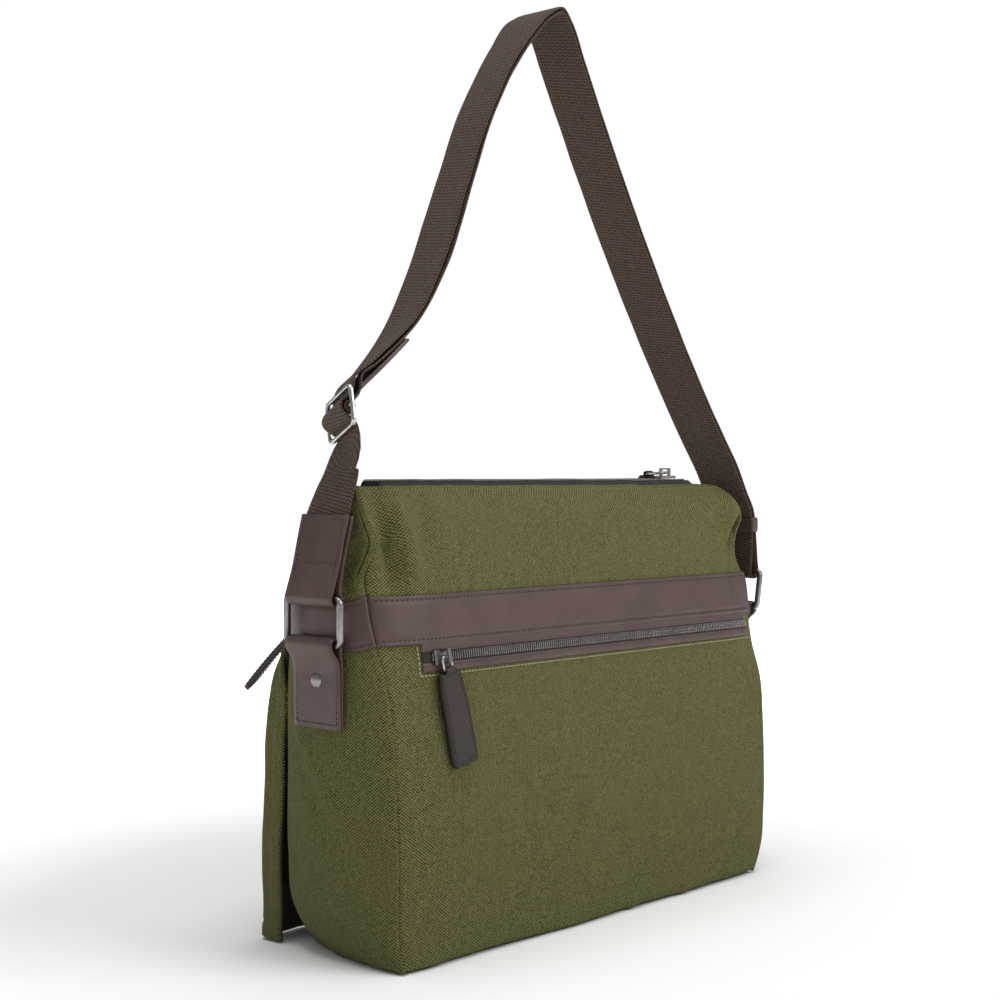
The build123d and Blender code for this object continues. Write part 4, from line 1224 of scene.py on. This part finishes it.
def leather_pull(name, eye, side, out, drop, body, node):
    """Stitched leather tab hanging from a link whose eye, side direction and face are given."""
    side, out = unit(np.array(side, float)), unit(np.array(out, float))
    down = -np.cross(out, side)
    bar = drop - 1.8
    top = bar + 1.35
    shoulder = PULL_W / 2 - 1
    half_at = [
        (0, PULL_NECK / 2 + 1.5),
        (9, shoulder - 0.4),
        (PULL_L / 3, shoulder),
        (PULL_L - 4, PULL_W / 2 - 0.4),
        (PULL_L - 1, PULL_W / 2 - 1.8),
        (PULL_L, PULL_W / 2 - 3.4),
    ]

    def surface(u, v):
        s = v * PULL_L
        half = np.interp(PULL_L - s, *np.array(half_at).T)
        along = top + PULL_L - s
        bow = 0.9 * np.sin(np.clip((PULL_L - s) / PULL_L, 0, 1) * math.pi)
        across = (u - 0.5) * 2 * half
        flat = np.outer(across, side) + np.outer(along, down)
        return np.array(eye) + flat + np.outer(bow - PULL_T / 2, out)

    def press(u, v):
        rim = np.minimum(np.minimum(u, 1 - u) * PULL_W, np.minimum(v, 1 - v) * PULL_L)
        return 0.35 * bump(rim, 2.6, 0.9)

    pull = shell(name, surface, (PULL_W, PULL_L), (30, 64), PULL_T, PULL_LOOK, edge=1.3, press=press)
    put(pull, body, "leather", node)
    rows = []
    for lift in (PULL_T - 0.25, 0.05):
        corners = [(0.11, 0.05), (0.11, 0.96), (0.89, 0.96), (0.89, 0.05), (0.11, 0.05)]
        for (a, b), (c, d) in zip(corners, corners[1:]):
            points, normal = row_on(surface, (a, c), (b, d), lift, 40)
            rows.append((points, normal if lift > 1 else -normal))
    thread = stitches(f"{name}_stitches", rows, BROWN_THREAD, pitch=2.9, length=2.1, radius=0.42)
    put(thread, body, "leather")
    centre = np.array(eye) + down * bar
    turns = np.radians(np.arange(0, 360, 24))
    ring = [centre + (out * math.cos(a) - down * math.sin(a)) * 1.9 for a in turns]
    loop = sweep(f"{name}_fold", ring, side, slab(8.0, 1.3, 8), PULL_LOOK, closed=True)
    put(loop, body, "leather")


joints = {j["name"]: j for j in frame["joints"]}


def eye_of(joint):
    return np.array(joints[joint]["pos_m"]) / MM


leather_pull(
    "back_pull_leather", eye_of("back_pull_swing"), (-0.9877, -0.0156, 0.1557), (0, 0.995, 0.0995),
    10.5, "back_pull", "back_zip_pull",
)
leather_pull(
    "front_pull_leather", eye_of("front_pull_swing"), (0.849, 0.4515, -0.2743), (0.508, -0.554, 0.6607),
    10.5, "front_pull", "front_zip_pull",
)

TOP_FACE = (0, -math.cos(math.radians(33)), math.sin(math.radians(33)))
leather_pull(
    "top_pull_leather", eye_of("top_pull_swing"), (1, 0, 0), TOP_FACE, 1.8, "top_pull", "top_zip_pull",
)

# ------------------------------------------------------------------ carried-over metal and small parts
CARRIED = {
    "back_zip_slider": (DARK_NICKEL_LOOK, 0.5),
    "front_zip_slider": (DARK_NICKEL_LOOK, 0.5),
    "top_zip_slider": (DARK_NICKEL_LOOK, 0.5),
    "back_zip_link": (NICKEL_LOOK, 0),
    "front_zip_link": (NICKEL_LOOK, 0),
    "top_zip_link": (NICKEL_LOOK, 0),
    "pocket_magnets": (STEEL_LOOK, 0.4),
    "flap_magnets": (STEEL_LOOK, 0.4),
}
for node, (look, rounding) in CARRIED.items():
    obj = frame["nodes"][node]
    obj.data.materials.clear()
    obj.data.materials.append(look)
    if rounding:
        bevel = obj.modifiers.new("rounding", "BEVEL")
        bevel.width = rounding * MM
        bevel.segments = 3
        bevel.limit_method = "ANGLE"

# ------------------------------------------------------------------ studio
bpy.ops.mesh.primitive_plane_add(size=14, location=(0, 0, -0.0002))
floor = bpy.context.object
floor.name = "studio_floor"
paper = Look("studio_paper", Roughness=0.9, Specular_IOR_Level=0.1)
paper.shader.inputs["Base Color"].default_value = (0.92, 0.92, 0.92, 1)
paper.shader.inputs["Emission Color"].default_value = (1, 1, 1, 1)
away = paper.add("VectorMath", out=1, set_operation="LENGTH", _0=paper.place())
paper.links.new(paper.ramp(away, 0.35, 1.1, 0.0, 1.0), paper.shader.inputs["Emission Strength"])
floor.data.materials.append(paper.material)

bpy.context.scene.view_settings.view_transform = "Standard"
AIR_LIGHT, AIR_SEEN = 0.34, 1.04
world = bpy.data.worlds.new("studio_air")
world.use_nodes = True
air = world.node_tree.nodes["Background"]
air.inputs[0].default_value = (1, 1, 1, 1)
seen = world.node_tree.nodes.new("ShaderNodeLightPath")
bright = world.node_tree.nodes.new("ShaderNodeMapRange")
bright.inputs["To Min"].default_value = AIR_LIGHT
bright.inputs["To Max"].default_value = AIR_SEEN
world.node_tree.links.new(seen.outputs["Is Camera Ray"], bright.inputs["Value"])
world.node_tree.links.new(bright.outputs[0], air.inputs[1])
bpy.context.scene.world = world


def softbox(name, place, aim, size, power):
    data = bpy.data.lights.new(name, "AREA")
    data.shape = "RECTANGLE"
    data.size, data.size_y = size
    data.energy = power
    lamp = bpy.data.objects.new(name, data)
    lamp.location = place
    lamp.rotation_euler = (Vector(aim) - Vector(place)).to_track_quat("-Z", "Y").to_euler()
    bpy.context.scene.collection.objects.link(lamp)


softbox("key_light", (-0.9, 2.0, 1.7), (0, 0, 0.2), (1.5, 1.3), 31)
softbox("side_light", (2.2, -0.6, 1.5), (0.1, 0, 0.2), (1.0, 1.0), 2)
softbox("top_light", (0.0, 0.1, 2.4), (0, 0, 0), (2.0, 2.0), 38)

camera_data = bpy.data.cameras.new("photo_view")
camera = bpy.data.objects.new("photo_view", camera_data)
bpy.context.scene.collection.objects.link(camera)
CAMERA_AT = Vector((0.90, 0.785, 0.296))
LOOK = Vector((-0.737, -0.676, 0.0))
camera.location = CAMERA_AT
camera.rotation_euler = LOOK.to_track_quat("-Z", "Y").to_euler()
camera_data.lens = 62.7
camera_data.sensor_width = 36.0
camera_data.shift_y = -0.025
camera_data.clip_start = 0.01
bpy.context.scene.camera = camera
